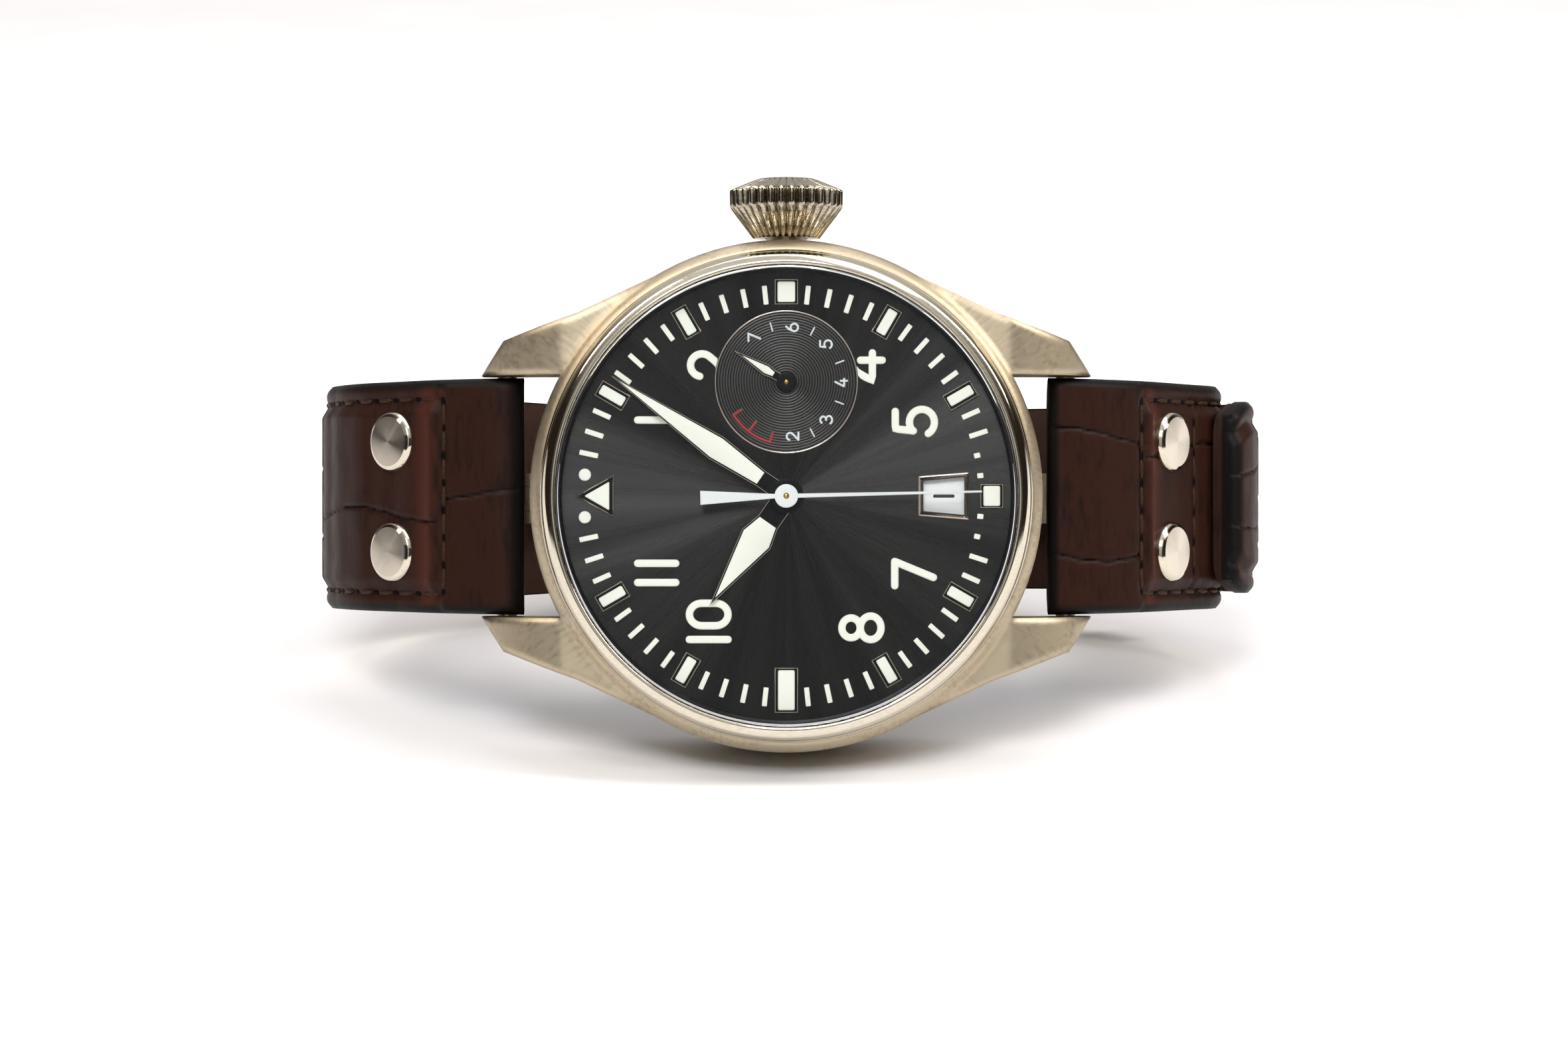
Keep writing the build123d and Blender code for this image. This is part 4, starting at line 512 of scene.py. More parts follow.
FIGURES = {
    "0": [bow(0.5, 0.68, 0.5, 0.32, 0, 180) + bow(0.5, 0.32, 0.5, 0.32, 180, 360)
          + [(1, 0.5), (1, 0.68)]],
    "1": [straight((0.5, 0), (0.5, 1))],
    "2": [bow(0.5, 0.71, 0.47, 0.29, 168, -38) + straight((0.8, 0.46), (0.03, 0.0))[1:],
          straight((0.03, 0), (1, 0))],
    "3": [bow(0.46, 0.75, 0.45, 0.25, 150, -90), bow(0.46, 0.26, 0.52, 0.26, 90, -152)],
    "4": [straight((0.74, 0), (0.74, 0.55)), straight((0.6, 1), (0, 0.25), (1, 0.25))],
    "5": [straight((0.9, 1), (0.16, 1), (0.08, 0.54)), bow(0.44, 0.32, 0.55, 0.32, 132, -150)],
    "6": [bow(0.5, 0.31, 0.5, 0.31, 0, 360, 28), straight((0.02, 0.4), (0.25, 0.74), (0.62, 1))],
    "7": [straight((0, 1), (1, 1)), straight((1, 1), (0.34, 0))],
    "8": [bow(0.5, 0.765, 0.42, 0.235, 0, 360, 26), bow(0.5, 0.265, 0.5, 0.265, 0, 360, 28)],
    "9": [bow(0.5, 0.69, 0.5, 0.31, 0, 360, 28), straight((0.98, 0.6), (0.75, 0.26), (0.38, 0))],
}


def figure(symbol, x0, y0, width, height, line, rise, level, angle=0.0):
    """Strokes of one figure with its outside box at (x0, y0), turned about the dial's centre."""
    boxed = [[(x0 + line / 2 + x * (width - line), y0 + line / 2 + y * (height - line))
              for x, y in centre_line] for centre_line in FIGURES[symbol]]
    return [stroke(spun(points, angle), line, rise, level) for points in boxed]


def outside(shape, centre, radius, level):
    """Trims paint at a circle: what lies within it is drawn back to its edge."""
    out = []
    for x, y, z in shape[0]:
        reach = hypot(x - centre[0], y - centre[1])
        if reach < radius:
            x = centre[0] + (x - centre[0]) / reach * radius
            y = centre[1] + (y - centre[1]) / reach * radius
            z = level
        out.append((x, y, z))
    return out, shape[1]


# Bezel, crystal, the rings under it and the crown, as (radius, height) profiles
bezel_profile = filleted([
    (21.13, 10.06), (22.13, 10.06), (22.13, 10.42), (21.97, 10.62), (21.98, 10.95),
    (21.86, 11.6), (21.55, 12.15), (20.98, 12.47), (20.66, 12.4), (20.66, 12.0),
    (21.13, 11.7)], 0.16, 5)
piece("bezel_ring", lathed(bezel_profile, 320), polished, nodes=["bezel"], angle=50)

GLASS_RADIUS, HOLLOW_RADIUS = 20.35, 20.1
dome = [(r, 13.58 - 0.73 * (r / GLASS_RADIUS) ** 2) for r in np.linspace(0.01, GLASS_RADIUS, 14)]
hollow = [(r, 12.12 - 0.42 * (r / HOLLOW_RADIUS) ** 2)
          for r in np.linspace(HOLLOW_RADIUS, 0.01, 10)]
glass_edge = filleted([(GLASS_RADIUS, 12.85), (20.58, 12.5), (20.58, 11.74),
                       (HOLLOW_RADIUS, 11.72)], 0.05, 3, False)[1:-1]
piece("sapphire_glass", lathed(dome + glass_edge + hollow, 240, False), clear_sapphire,
      nodes=["crystal"], angle=20)
for name, profile, fillet, segments, finish, nodes in (
        ("flange_ring", [(20.17, 9.66), (20.95, 9.66), (20.95, 11.0), (20.62, 11.05)], 0.05, 240,
         rehaut_black, ["rehaut_ring"]),
        ("flange_lip", [(20.56, 11.04), (20.74, 11.04), (20.74, 11.2), (20.62, 11.2)], 0.04, 240,
         bright_edge, []),
        ("glass_gasket", [(20.3, 11.25), (20.98, 11.25), (20.98, 11.62), (20.3, 11.62)], 0.1, 180,
         rubber_black, ["crystal_gasket"])):
    piece(name, lathed(filleted(profile, fillet, 3), segments), finish, nodes=nodes)

# The crown: a ribbed cone with a plain, slightly dished cap, as (height over its foot, radius)
CROWN_FOOT, RIBS, STEPS_PER_RIB, RIB_DEPTH = 23.4, 32, 10, 0.11
ribbed_rows = [(0, 2.98), (0.12, 3.12), (1.0, 3.78), (2.0, 4.55), (2.66, 5.03), (2.86, 5.15),
               (3.1, 5.16), (3.6, 5.16), (4.2, 5.16), (4.36, 5.12), (4.55, 4.72), (4.95, 3.75),
               (5.28, 2.95)]
cap_rows = [(5.34, 2.72), (5.4, 2.6), (5.4, 2.1), (5.33, 2.04), (5.33, 0.02)]
around = RIBS * STEPS_PER_RIB
crown_verts = []
for rows, rib_depth in ((ribbed_rows, RIB_DEPTH), (cap_rows, 0.0)):
    for height, radius in rows:
        for i in range(around):
            phase = pi * ((i % STEPS_PER_RIB) / STEPS_PER_RIB - 0.5)
            r = radius * (1 - rib_depth * (1 - abs(cos(phase)) ** 0.9))
            crown_verts.append((*polar(r, 360 * i / around), CROWN_FOOT + height))
crown_skin = (crown_verts, quads(len(ribbed_rows) + len(cap_rows), around))
foot = lathed([(2.95, CROWN_FOOT), (1.95, CROWN_FOOT), (1.95, CROWN_FOOT + 3.4)], 120, False)
piece("ribbed_crown", [crown_skin, foot], crown_painted_shade_steel, "crown", CROWN, ["crown"], 60)

# Dial: brushed plate with a sunk, circularly turned reserve field and a bevelled date window
WINDOW = [(-1.35, -12.3), (1.35, -12.3), (1.7, -16.0), (-1.7, -16.0)]
FIELD_TOP = DIAL_TOP - 0.15
plate = slab([ring_loop(20.6, count=240), ring_loop(FIELD_RADIUS, RESERVE_AT, 160),
              filleted(WINDOW, 0.1), ring_loop(1.4, count=48)], DIAL_TOP - 0.4, DIAL_TOP)
piece("dial_plate", plate, sunburst, nodes=["dial"])
field = slab([ring_loop(FIELD_RADIUS + 0.02, RESERVE_AT, 160), ring_loop(0.42, RESERVE_AT, 32)],
             DIAL_TOP - 0.35, FIELD_TOP)
piece("reserve_field", field, turned_field)
rim = lathed(filleted([(6.27, 9.44), (6.43, 9.58), (6.43, 9.63), (6.31, 9.63)], 0.04, 3), 180)
piece("reserve_rim", moved(rim, RESERVE_AT), bright_edge)


def grown(points, amount):
    """An outline with its corners moved out from its middle."""
    centre = np.mean(np.array(points), axis=0)
    return [tuple(np.array(p) + np.sign(np.array(p) - centre) * amount) for p in points]


window_rows = [(grown(WINDOW, 0.44), 0.0), (grown(WINDOW, 0.42), 0.18),
               (grown(WINDOW, 0.3), 0.2), (WINDOW, -0.12), (WINDOW, -0.4)]
frame_verts = [(x, y, DIAL_TOP + rise)
               for loop, rise in window_rows for x, y in filleted(loop, 0.12)]
frame_faces = quads(len(window_rows), len(frame_verts) // len(window_rows))
piece("window_frame", (frame_verts, frame_faces), bright_edge, nodes=["date_window_frame"],
      angle=25)

# Printed minute track and luminous figures
bars = []
for minute in range(60):
    if minute % 5 == 0 or minute in (1, 59):
        continue
    near, far = (17.25, 17.8) if minute in (28, 29, 31, 32) else (17.3, 19.0)
    bars.append(slab([clocked(box_loop(near, far, 0.45, 0.08), minute * 6)],
                     DIAL_TOP, DIAL_TOP + 0.06, 0.02))
piece("minute_track", bars, lume)

FIGURE_LINE, FIGURE_RISE = 0.68, 0.1
FIGURE_BOXES = [("1", 6.13, 9.6, 1.4, 4.1), ("2", 10.33, 4.7, 2.85, 4.25),
                ("4", 10.0, -8.95, 3.2, 4.2), ("5", 5.35, -13.65, 2.8, 4.2),
                ("7", -8.4, -13.55, 2.85, 4.15), ("8", -13.25, -8.85, 2.8, 4.2),
                ("0", -12.0, 4.9, 2.7, 4.15), ("1", -13.6, 4.9, 1.4, 4.15),
                ("1", -6.75, 9.6, 1.4, 4.1), ("1", -8.48, 9.6, 1.4, 4.1)]
numerals = [outside(shape, RESERVE_AT, FIELD_RADIUS + 0.12, DIAL_TOP) for box in FIGURE_BOXES
            for shape in figure(*box, FIGURE_LINE, FIGURE_RISE, DIAL_TOP)]
piece("hour_figures", numerals, lume, angle=60)


PRINT_RISE, ARC_RADIUS = 0.02, 5.6


def reserve_line(places, width):
    """A printed line in the sunk field, through (radius, angle) places."""
    return stroke([polar(*place, RESERVE_AT) for place in places], width, PRINT_RISE, FIELD_TOP)


reserve_marks = []
for symbol, angle in (("7", 35.7), ("6", -6.0), ("5", -46.2), ("4", -90.7), ("3", -133.4),
                      ("2", -173.5)):
    x, y = polar(4.93, angle, RESERVE_AT)
    reserve_marks += figure(symbol, x - 0.43, y - 0.62, 0.86, 1.24, 0.18, PRINT_RISE, FIELD_TOP)
reserve_marks += [reserve_line([(r, angle) for r in (4.75, 5.1, 5.5)], 0.13)
                  for angle in (15.2, -27.3, -69.6, -111.3, -152.9)]
reserve_red = [reserve_line([(ARC_RADIUS, a) for a in np.linspace(121.8, 164.9, 16)], 0.22)]
reserve_red += [reserve_line([(ARC_RADIUS - length * t, angle) for t in (0, 0.5, 1)], 0.22)
                for angle, length in ((121.8, 0.85), (142.6, 1.1), (164.9, 0.85))]
piece("reserve_figures", reserve_marks, white_ink, angle=60)
piece("reserve_warning", reserve_red, red_ink, angle=60)

# Applied markers: black frames with bright edges round luminous blocks
MARKER_END = 19.5
BAR = (2.9, 1.6, 2.4, 0.92)
LARGE_BARS = {3: (2.3, 2.14, 1.85, 1.58), 6: (2.1, 2.2, 1.5, 1.8), 9: (4.1, 2.13, 3.6, 1.5)}
EDGE_RISE, PLATE_RISE, BLOCK_RISE, DOT_RISE = 0.22, 0.17, 0.29, 0.2
edges, frames, blocks = [], [], []


def marker(clock_angle, *loops):
    """A block in its frame: a bright edge, a black plate and a luminous fill."""
    outline, bright, inside = (clocked(loop, clock_angle) for loop in loops)
    edges.append(slab([outline, bright], DIAL_TOP, DIAL_TOP + EDGE_RISE, 0.04))
    frames.append(slab([bright, inside], DIAL_TOP, DIAL_TOP + PLATE_RISE))
    blocks.append(slab([inside], DIAL_TOP, DIAL_TOP + BLOCK_RISE, 0.07))


for hour in range(1, 12):
    length, width, inner_length, inner_width = LARGE_BARS.get(hour, BAR)
    foot_end, middle = MARKER_END - length, MARKER_END - length / 2
    marker(hour * 30, box_loop(foot_end, MARKER_END, width, 0.08),
           box_loop(foot_end + 0.1, MARKER_END - 0.1, width - 0.2, 0.06),
           box_loop(middle - inner_length / 2, middle + inner_length / 2, inner_width, 0.18))
marker(0, [(15.5, -1.9), (18.9, 0), (15.5, 1.9)], [(15.6, -1.73), (18.72, 0), (15.6, 1.73)],
       filleted([(15.9, -1.3), (18.15, 0), (15.9, 1.3)], 0.16))
for side in (-1, 1):
    blocks.append(slab([ring_loop(0.55, (side * 1.91, 18.1), 40)], DIAL_TOP,
                       DIAL_TOP + DOT_RISE, 0.08))
piece("marker_edges", edges, bright_edge, nodes=["hour_marker_frames"])
piece("marker_frames", frames, black_lacquer)
piece("marker_blocks", blocks, lume, nodes=["hour_marker_lume"])

# Hands: lances with bright bevelled edges, a black plate and a luminous field
HAND_THICKNESS = 0.2


def lance(length, belly, belly_width, shoulder, shoulder_width, inset=0.0, root=0.0):
    """The outline of a hand, widest at its belly."""
    side, waist = belly_width / 2 - inset, shoulder_width / 2 - inset
    return [(root, -waist), (shoulder, -waist), (belly, -side), (length - inset * 4.5, 0),
            (belly, side), (shoulder, waist), (root, waist)]


def hand(name, shape, level, clock_angle, hub, bore, at=(0, 0)):
    """A hand from its bright edge, its black plate with the hub, and its luminous field."""
    top = level + HAND_THICKNESS
    whole, rimmed, filled = (clocked(lance(*shape, *inset), clock_angle, at)
                             for inset in ((), (0.07, 0.0), (0.2, shape[3])))
    hub_ring = lathed(filleted([(bore, level), (hub, level), (hub, top + 0.02),
                                (bore, top + 0.02)], 0.05, 3), 72)
    piece(name + "_edge", slab([whole], level, top - 0.03, 0.03), bright_edge, name,
          nodes=[name + "_hand"])
    piece(name + "_plate", [slab([rimmed], top - 0.04, top), moved(hub_ring, at)],
          black_lacquer, name)
    piece(name + "_field", slab([filled], top - 0.01, top + 0.03, 0.03), lume, name,
          nodes=[name + "_hand_lume"])


hand("hour", (12.05, 4.7, 3.15, 2.9, 2.15), HOUR_LEVEL, 305.0, 1.55, 1.22)
hand("minute", (19.1, 7.6, 2.4, 2.8, 1.6), 10.6, 34.5, 1.55, 0.75)
hand("reserve", (5.55, 2.1, 1.1, 1.33, 0.8), 9.66, 30.8, 0.87, 0.2, RESERVE_AT)
NEEDLE_LEVEL = 11.12
needle = clocked([(-7.7, -0.635), (-1.0, -0.2), (0, -0.2), (17.5, -0.09), (17.5, 0.09),
                  (0, 0.2), (-1.0, 0.2), (-7.7, 0.635)], 178.7)
needle_hub = lathed(filleted([(0.26, NEEDLE_LEVEL), (1.06, NEEDLE_LEVEL), (1.06, 11.34),
                              (0.26, 11.36)], 0.06, 3), 72)
piece("seconds_needle", [slab([needle], NEEDLE_LEVEL, NEEDLE_LEVEL + 0.18, 0.03), needle_hub],
      white_lacquer, "seconds", nodes=["seconds_hand"])
piece("seconds_pin", lathed([(0.01, 11.42), (0.18, 11.4), (0.25, 11.34), (0.25, 11.2)], 32,
                            False), gilt, "seconds")
piece("reserve_pin", moved(lathed([(0.01, 9.96), (0.16, 9.94), (0.22, 9.88), (0.22, 9.7)], 32,
                                  False), RESERVE_AT), gilt, "reserve")

# Date disc with its 31 figures
DAYS, DAY_GAP = 31, 0.16
date_figures = []
for day in range(DAYS):
    text = str(day + 1)
    wide = 0.95 if len(text) > 1 else 1.1
    total = len(text) * wide + (len(text) - 1) * DAY_GAP
    for index, symbol in enumerate(text):
        date_figures += figure(symbol, index * (wide + DAY_GAP) - total / 2, -15.15, wide, 1.95,
                               0.3, 0.015, DATE_TOP, 360 * day / DAYS)
piece("date_figures", date_figures, black_ink, "date", angle=60)

# Leather strap, built along the same side routes as the frame
GAP_REACH, LINING, ROW_STEP = 24.1, 0.9, 0.35
TIP_REACH, TIP_ROUNDING, TIP_HALF_WIDTH = 2.8, 6.0, 5.0
LONG_START, SHORT_START = ((-25.2, 0.4), 190.0), ((25.2, 5.4), -15.0)


def stations(start, heading, legs, bend, step=None):
    """Place, heading, way travelled and leg along a route of (turn, size) legs, at its joints or
    every few mm."""
    point, travelled = start, 0.0
    found = [(point, heading, travelled, 0.0)]
    for index, (turn, size) in enumerate(legs):
        length = radians(turn) * size if turn else size
        parts = max(1, round(length / step)) if step else 1
        for part in range(parts):
            if turn:
                centre = polar(size, heading + 90 * bend, point)
                heading += bend * turn / parts
                point = polar(size, heading - 90 * bend, centre)
            else:
                point = polar(size / parts, heading, point)
            travelled += length / parts
            found.append((point, heading, travelled, index + (part + 1) / parts))
    return found


# The long half runs behind the wrist; its last corner is solved so that its tail ends beside
# the short half.
far_turn, far_radius, TAIL_GAP = 25.7, 57.2, 0.3
near_legs = [(16.15, 16.4), (16.15, 16.4), (0, 4.2), (23.85, 14.5), (23.85, 14.5)]
corner_turn = 360 - LONG_START[1] - sum(turn for turn, _ in near_legs) - far_turn
near_legs += [(corner_turn / 2, 12.8)] * 2
corner = stations(*LONG_START, near_legs, 1)[-1][0]
cos_far, sin_far = polar(1, far_turn)
near_legs.append((0, (-corner[0] - far_radius * sin_far) / cos_far))
flat_end, flat_heading, _, _ = stations(*LONG_START, near_legs, 1)[-1]
far_centre = polar(far_radius, flat_heading + 90, flat_end)
short_legs = [(20.15, 18.3), (20.15, 18.3), (0, 8.0), (17.35, 12.2), (17.35, 12.2)]
short_side = stations(*SHORT_START, short_legs, -1)[-1][0]
span_x = short_side[0] + TAIL_GAP - (far_centre[0] + far_radius * sin_far)
span_y = short_side[1] - (far_centre[1] - far_radius * cos_far)
gain = 1 - sin_far
tail_radius = (span_y * cos_far - span_x * sin_far) / (cos_far * cos_far - gain * sin_far)
tail_flat = (span_x - tail_radius * gain) / cos_far
tail_turn = 90 - far_turn
short_legs += [(tail_turn / 2, tail_radius - TAIL_GAP)] * 2 + [(0, 5.2)]
long_legs = near_legs + [(far_turn, far_radius)] * 2 + [(0, tail_flat), (tail_turn, tail_radius),
                                                        (34.7, 12.5)]


class Half:
    """One half of the strap: its side lines, widths and the way from strap places to space."""

    def __init__(self, start, heading, legs, bend, lifts, near_widths, far_widths,
                 rounded_tip=False, near_legs_end=5):
        rows = stations(start, heading, legs, bend, ROW_STEP)
        base = np.array([row[0] for row in rows])
        facing = np.radians(np.array([row[1] for row in rows]) - 90 * bend)
        normal = np.stack([np.cos(facing), np.sin(facing)], 1)
        leg = np.array([row[3] for row in rows])
        self.lines = {}
        for name, lift in zip(("outer", "seam", "inner"), lifts):
            line = base + normal * np.interp(leg, range(len(lift)), lift)[:, None]
            foot = [copysign(GAP_REACH, start[0]), line[0, 1]]
            self.lines[name] = np.insert(line, 0, foot, 0)
        self.s = np.array([GAP_REACH - abs(start[0])] + [row[2] for row in rows])
        self.normal = np.insert(normal, 0, normal[0], 0)
        self.leg = np.insert(leg, 0, 0.0)
        x = self.lines["outer"][:, 0]
        self.half_width = np.where(self.leg <= near_legs_end, np.interp(x, *near_widths),
                                   np.interp(x, *far_widths))
        if rounded_tip:
            height = self.lines["inner"][:, 1]
            room = np.clip((height[-1] + TIP_REACH - height) / TIP_ROUNDING, 0, 1)
            narrowed = (self.half_width - TIP_HALF_WIDTH) * np.sin(room * pi / 2)
            self.half_width = np.where(self.leg > len(legs) - 2, TIP_HALF_WIDTH + narrowed,
                                       self.half_width)

    def at(self, s, t, lift, line="outer"):
        """Watch places (x to 3, y to 12, z) at a length along, a place across and a lift."""
        x, z = (np.interp(s, self.s, self.lines[line][:, k])
                + lift * np.interp(s, self.s, self.normal[:, k]) for k in (0, 1))
        return np.stack([np.broadcast_to(t, np.shape(x)), -x, z], -1)

    def width(self, s):
        """From the middle to a side, at a length along."""
        return float(np.interp(s, self.s, self.half_width))

    def leg_place(self, leg):
        """The length along of a leg, counted from the lug."""
        return float(np.interp(leg, self.leg, self.s))


# A half is thickest at its lug; the long one's route is its inside, the short one's its outside
thick = [4.9, 4.9, 4.3, 4.3, 3.5, 3.5] + [2.8] * len(long_legs)
long_half = Half(*LONG_START, long_legs, 1, (thick, [LINING, LINING], [0, 0]),
                 ([-42.2, -24.1], [10.6, 10.8]), ([-42.2, -16.0], [10.6, 9.1]), True)
short_half = Half(*SHORT_START, short_legs, -1,
                  ([0, 0], [LINING - depth for depth in thick], [-depth for depth in thick]),
                  ([24.1, 39.4], [10.8, 10.6]), ([32.2, 39.4], [8.9, 10.6]))


def ease(x):
    """From 0 to 1 with a soft start and end."""
    x = np.clip(x, 0, 1)
    return x * x * (3 - 2 * x)


def bell(x):
    """1 in the middle, falling softly to 0."""
    return np.exp(-x ** 2)


def scales(s, t, seams, seed):
    """Relief of the hide at strap places: how deep the seams between scales are, from 0 to 1."""
    rng = np.random.default_rng(seed)
    depth = np.zeros(np.shape(t))
    for index, (at_s, lines) in enumerate(seams):
        bend = rng.uniform(-0.5, 0.5, 3)
        wave = bend[0] * np.sin(t * 0.28 + bend[1] * 6) + 0.2 * np.sin(t * 1.3 + bend[2] * 9)
        depth = np.maximum(depth, 0.7 * bell((s - at_s - wave) / 0.2))
        end = seams[index + 1][0] if index + 1 < len(seams) else at_s + 9
        inside = ease((s - at_s + 0.2) / 0.5) * ease((end - s + 0.2) / 0.5)
        for at_t in lines:
            wobble = 0.7 * np.sin((s - at_s) * 0.32 + at_t) + 0.04 * np.sin(s * 2.1 + at_t)
            depth = np.maximum(depth, inside * bell((t - at_t - wobble) / 0.14))
    return depth


EDGE_RADIUS, SEAM_DEPTH, HEM_DEPTH, GROOVE_DEPTH, SWELL = 0.95, 0.26, 0.42, 0.2, 0.03
STITCH_INSET, STITCH_PITCH = 1.75, 2.65
SIDE_SEAT, CROSS_SEAT = -0.62, -0.24
THREAD, HOLE = (1.95, 0.5, 0.36), (0.8, 0.6, 0.16)


def strap_skin(name, half, seams, seed, stitched_from, line_s):
    """The outer hide of a half: padded, scaled, sunk along its stitching, with painted edges."""
    start, end = half.s[0], half.s[-1]
    rows = np.unique(np.concatenate([np.linspace(start, start + 1.2, 8),
                                     np.arange(start + 1.2, end - 0.6, 0.3),
                                     np.linspace(end - 0.6, end, 6)]))
    verts, masks = [], {"seam": [], "edge": [], "fold": []}
    for s in rows:
        w = half.width(s)
        t = np.linspace(-1, 1, 91) * (w - EDGE_RADIUS * 0.35)
        from_edge = w - np.abs(t)
        rounding = 1 - np.clip(from_edge / EDGE_RADIUS, 0, 1)
        groove = scales(s, t, seams, seed)
        calm = ease((from_edge - 1.0) / 1.2)
        lift = -EDGE_RADIUS * (1 - np.sqrt(1 - rounding ** 2)) - groove * SEAM_DEPTH * calm
        lift -= ease((s - stitched_from) / 0.5) * (
            HEM_DEPTH * (1 - ease((from_edge - 2.1) / 1.0))
            + GROOVE_DEPTH * bell((from_edge - STITCH_INSET) / 0.35))
        for at_s, amount, spread in line_s:
            lift += amount * bell((s - at_s) / spread) * np.clip(from_edge - 1, 0, 1)
        lift += SWELL * np.sin(s * 1.9 + 0.6 * np.sin(t * 0.9)) * calm
        end_room = min(s - start, end - s)
        if end_room < EDGE_RADIUS:
            lift -= EDGE_RADIUS * (1 - sqrt(1 - (1 - end_room / EDGE_RADIUS) ** 2))
        seam_line = half.at(s, 0.0, 0.0, "seam")
        outer_line = half.at(s, 0.0, -EDGE_RADIUS)
        sides = [[(side * w, *(outer_line[1:] * (1 - f) + seam_line[1:] * f))
                  for f in (0, 0.5, 1)] for side in (1, -1)]
        under = [(x, *seam_line[1:]) for x in np.linspace(w, -w, 9)[1:-1]]
        verts += [*half.at(s, t, lift), *sides[0], *under, *sides[1][::-1]]
        rest = [0] * (len(under) + 6)
        dark = np.maximum(1 - ease((from_edge - 0.45) / 0.55), 1 - ease((end_room - 0.35) / 0.5))
        # A reddish band across the hide just past the stitch column
        reddish_band = bell((s - stitched_from - 1.6) / 0.9)
        # Painted shade in the seams between scales, fading towards the sides
        masks["seam"] += [*np.clip(groove * calm, 0, 1), *rest]
        masks["edge"] += [*dark, 1, 1, 1, *[0.4] * len(under), 1, 1, 1]
        masks["fold"] += [reddish_band] * len(t) + rest
    shape = verts, capped(len(rows), len(verts) // len(rows))
    piece(name + "_hide", shape, alligator, name, nodes=[name + "_leather"], angle=70,
          attributes=masks)


def lining_skin(name, half):
    """The inner hide of a half, with rounded side edges."""
    rows = np.append(np.arange(half.s[0] + 1.15, half.s[-1], 0.8), half.s[-1])
    verts = []
    for s in rows:
        w = half.width(s) - 0.15
        outer, inner = half.at(s, 0.0, 0.0, "seam"), half.at(s, 0.0, 0.0, "inner")
        verts += [(x, *outer[1:]) for x in np.linspace(-w, w, 15)]
        for x, lift in zip(np.linspace(w, -w, 19), [0.3, 0.08] + [0] * 15 + [0.08, 0.3]):
            verts.append((x, *(inner + (outer - inner) * lift)[1:]))
    flags = [0.0] * len(verts)
    piece(name + "_calf", (verts, capped(len(rows), len(verts) // len(rows))), lining_hide_painted_shade, name,
          nodes=[name + "_lining"], angle=60,
          attributes={"seam": flags, "edge": flags, "fold": flags})


def beads(marks, length, width, height):
    """Small rounded lozenges, for stitches and needle holes."""
    shapes, rings, sides = [], 7, 8
    for place, direction, up in marks:
        side = np.cross(up, direction)
        verts = []
        for along in np.linspace(-1, 1, rings):
            size = sqrt(max(0.0004, 1 - abs(along) ** 3))
            for k in range(sides):
                angle = 2 * pi * k / sides
                verts.append(tuple(place + direction * along * length / 2
                                   + side * cos(angle) * width / 2 * size
                                   + up * sin(angle) * height / 2 * size))
        shapes.append((verts, quads(rings, sides)))
    return shapes


def stitches(name, half, runs):
    """Thread and needle holes along runs of (s0, t0, s1, t1), seated in a half's grooves."""
    marks = [], []
    for s0, t0, s1, t1 in runs:
        length = hypot(s1 - s0, t1 - t0)
        seat = SIDE_SEAT if t0 == t1 else CROSS_SEAT
        steps = 2 * max(1, round(length / STITCH_PITCH))
        for i in range(steps + 1):
            s, t = s0 + (s1 - s0) * i / steps, t0 + (t1 - t0) * i / steps
            if t0 == t1:
                t = copysign(half.width(s) - STITCH_INSET, t0)
            here = half.at(s, t, seat)
            ahead = half.at(s + (s1 - s0) / length * 0.1, t + (t1 - t0) / length * 0.1, seat)
            up = unit(half.at(s, t, 0.6) - here)
            marks[i % 2].append((here + up * (0.03, 0.05)[i % 2], unit(ahead - here), up))
    piece(name + "_thread", beads(marks[1], *THREAD), brown_thread, name, angle=60)
    piece(name + "_holes", beads(marks[0], *HOLE), dark_hole, name, angle=60)


def row_seams(start, end, seed):
    """Rows of belly scales: lengthwise places of cross seams, and the seams within each row."""
    rng = np.random.default_rng(seed)
    rows, s = [], start
    while s < end:
        number = int(rng.choice((3, 4)))
        lines = [(-1 + 2 * (k + 1) / number) * 9.2 + rng.uniform(-0.9, 0.9)
                 for k in range(number - 1)]
        rows.append((s, lines))
        s += rng.uniform(6.5, 9.0)
    return rows


long_rivet, short_rivet = long_half.leg_place(2.02), short_half.leg_place(2.06)
long_column, short_column = long_rivet - 5.0, short_rivet - 4.6
second_column = short_rivet + 4.6
long_seams = [(long_half.s[0] - 6, [0.1]), (long_column + 0.5, [-1.6]),
              (long_rivet + 13.5, [-4.0, 2.6])] + row_seams(long_rivet + 21, 200, 5)
short_seams = [(short_half.s[0] - 6, [5.6, -5.2]), (short_column + 0.5, [4.4]),
               (short_rivet + 12.0, [-3.0, 3.4])] + row_seams(short_rivet + 20, 80, 9)
strap_skin("strap_12", long_half, long_seams, 3, long_column,
           [(long_column + 0.95, 0.3, 0.5), (long_column, -0.25, 0.35)])
strap_skin("strap_6", short_half, short_seams, 4, short_column,
           [(short_column + 0.95, 0.3, 0.5), (short_column, -0.25, 0.35),
            (second_column, -0.25, 0.35)])
lining_skin("strap_12", long_half)
lining_skin("strap_6", short_half)
long_end, short_end = long_half.s[-1] - 7.0, short_half.s[-1] - 4.5
stitches("strap_12", long_half, [(long_column, -8.8, long_column, 8.8)]
         + [(long_column, side, long_end, side) for side in (9.0, -9.0)])
stitches("strap_6", short_half, [(short_column, -8.8, short_column, 8.8),
                                 (second_column, -7.0, second_column, 7.0)]
         + [(short_column, side, short_end, side) for side in (9.0, -9.0)])

# Rivets: radially brushed tops with a mirror bevel, set into the flat part of each half
RIVET_ACROSS = 5.1


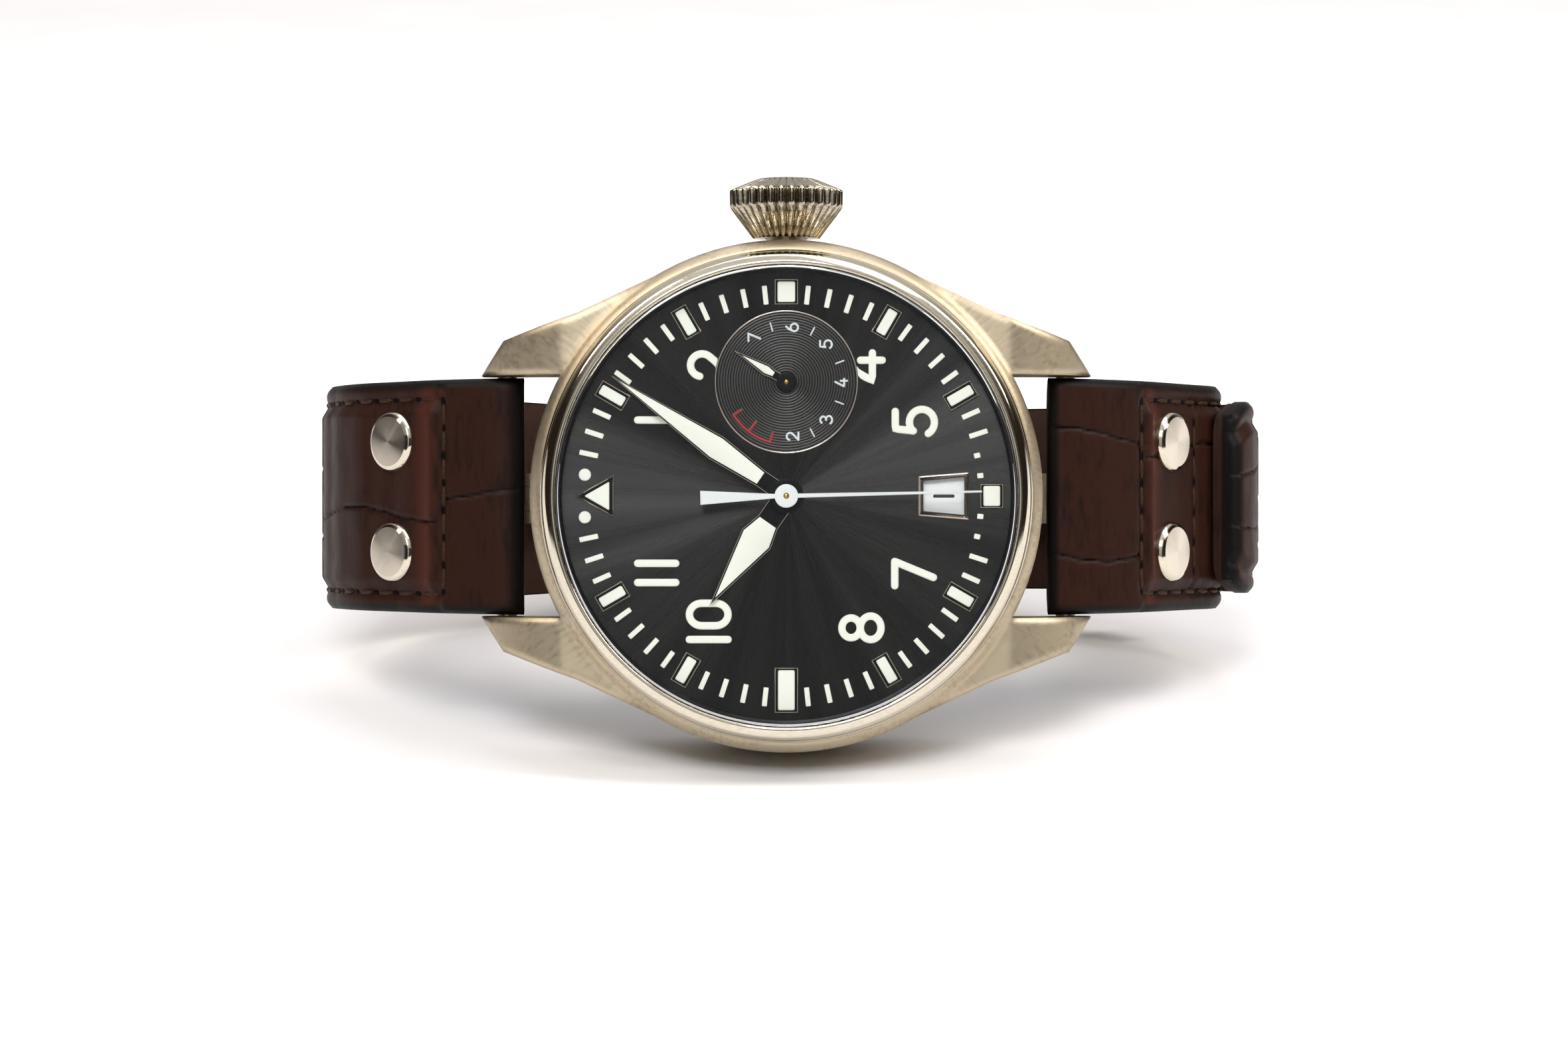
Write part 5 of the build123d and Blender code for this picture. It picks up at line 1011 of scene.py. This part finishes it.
def rivet_pair(half, s, number):
    """Two rivets side by side, each with a rim and a top."""
    for index, t in enumerate((-RIVET_ACROSS, RIVET_ACROSS)):
        base, outer, ahead = half.at(s, t, 0.0), half.at(s, t, 1.0), half.at(s + 0.5, t, 0.0)
        up, along = ((WATCH.to_3x3() @ Vector(end - base)).normalized() for end in (outer, ahead))
        matrix = axes(along, up.cross(along), up, WATCH @ Vector(base * MM))
        body, label = f"strap_{number}", f"{number}_{index}"
        rim = lathed(filleted([(2.3, 0.66), (2.62, 0.5), (2.78, 0.2), (2.8, -0.2), (2.4, -0.4)],
                              0.1, 4, False), 96, False)
        piece(f"rivet_rim_{label}", rim, polished, body, matrix,
              [] if index else [f"rivets_{number}"])
        top = lathed([(0.01, 0.72), (0.8, 0.715), (1.6, 0.695), (2.3, 0.66)], 96, False)
        finish = rivet_finish(matrix, label)
        SLOTS[finish.name] = "polished_steel"
        piece(f"rivet_top_{label}", top, finish, body, matrix)


rivet_pair(long_half, long_rivet, 12)
rivet_pair(short_half, short_rivet, 6)

# The rest of the frame keeps its shapes and takes its finishes
finishes = {
    case_steel: ["case_middle"],
    turned_back: ["case_back"],
    clasp_steel: ["crown_tube", "spring_bar_12", "spring_bar_6", "clasp_cover",
                  "clasp_base_blade", "clasp_middle_blade"],
    polished: ["buckle_pin", "clasp_hinge_pin", "clasp_spring_bar"],
    rhodium: ["mainplate", "train_bridge", "balance_cock", "rotor"],
    gilt: ["barrel", "third_wheel", "fourth_wheel", "escape_wheel", "cannon_pinion",
           "minute_wheel", "hour_wheel", "balance_wheel"],
    hard_steel: ["bridge_screws", "winding_stem", "winding_pinion", "clutch_wheel", "hairspring",
                 "pallet_fork", "iron_cover", "movement_ring", "rotor_bearing"],
    rubber_black: ["case_back_gasket", "crown_gasket"],
    white_lacquer: ["date_disc"],
}
for finish, names in finishes.items():
    for name in names:
        frame["nodes"][name].data.materials.clear()
        frame["nodes"][name].data.materials.append(finish)


# Setting: a white sweep, and dark cards in front that give the polished rings their dark lines
def staged(name, places, faces, finish):
    """A thing that stands about the watch and isn't part of it."""
    mesh = bpy.data.meshes.new(name)
    mesh.from_pydata(places, [], faces)
    mesh.materials.append(finish)
    made = placed(name, mesh)
    return made


REACH, CARD_TOP = 6.0, 0.34
# White paper sweep: matt, with a faint cloudiness of its fibres
paper = surface("white_paper_sweep", (40.0, 40.0, 40.0), [(0.2, "dcdcdf"), (0.8, "e2e2e5")],
                matrix=None, Specular_IOR_Level=0.1, Roughness=0.8)
# Dark card: matt dyed board, cloudy
card = surface("dark_card", (30.0, 30.0, 30.0), [(0.2, "16161a"), (0.8, "25242a")],
               matrix=None, Roughness=0.9)
staged("white_sweep", [(-REACH, -REACH, 0), (REACH, -REACH, 0), (REACH, REACH, 0),
                       (-REACH, REACH, 0)], [(0, 1, 2, 3)], paper)
cards = staged("dark_cards", [
    (-0.5, -0.5, 0.0), (-0.2, -0.6, 0.0), (-0.2, -0.6, CARD_TOP), (-0.5, -0.5, CARD_TOP),
    (0.16, -0.6, 0.0), (0.5, -0.5, 0.0), (0.5, -0.5, CARD_TOP), (0.16, -0.6, CARD_TOP)],
    [(0, 1, 2, 3), (4, 5, 6, 7)], card)
cards.visible_camera = False

# The room: white to the camera; to the watch, light overhead, dim below and dark at the sides
world = bpy.data.worlds.new("studio")
scene.world = world
world.use_nodes = True
sky = world.node_tree
sky.nodes.clear()
direction = add(sky, "SeparateXYZ", add(sky, "TexCoord").outputs["Generated"])
rise = add(sky, "MapRange", direction.outputs[2], From_Min=-0.2, From_Max=0.9)
glow = add(sky, "ValToRGB", rise, stops=[(0.0, "8c8883"), (0.35, "c4c0ba"), (1.0, "f8f7f5")])
aside = add(sky, "Math", direction.outputs[0], operation="ABSOLUTE")
dark_side = add(sky, "MapRange", aside, From_Min=0.45, From_Max=0.8)
room = add(sky, "Mix", Factor=dark_side, A=glow, B=colour("2e2721"), data_type="RGBA")
soft = add(sky, "Background", room.outputs["Result"], Strength=0.95)
white = add(sky, "Background", colour("f5f5f7"), Strength=1.0)
seen = add(sky, "LightPath").outputs["Is Camera Ray"]
add(sky, "OutputWorld", Surface=add(sky, "MixShader", seen, soft, white))

for name, place, size, power, tint in (
        ("overhead_window", (0.1, 0.1, 0.75), (0.9, 0.4), 2.4, "fdfcff"),
        ("left_fill", (-0.48, -0.12, 0.6), (0.12, 0.4), 2.4, "fff2e2"),
        ("right_fill", (0.6, -0.1, 0.55), (0.2, 0.4), 4.6, "fff6ec"),
        ("front_bank", (-0.1, -0.66, 0.7), (0.34, 0.3), 5.0, "ffffff")):
    lamp = placed(name, bpy.data.lights.new(name, "AREA"))
    lamp.data.shape = "RECTANGLE"
    lamp.data.size, lamp.data.size_y = size
    lamp.data.energy, lamp.data.color = power, colour(tint)[:3]
    lamp.location = place
    aim = Vector((0, 0, 0.02)) - Vector(place)
    lamp.rotation_euler = aim.to_track_quat("-Z", "Y").to_euler()
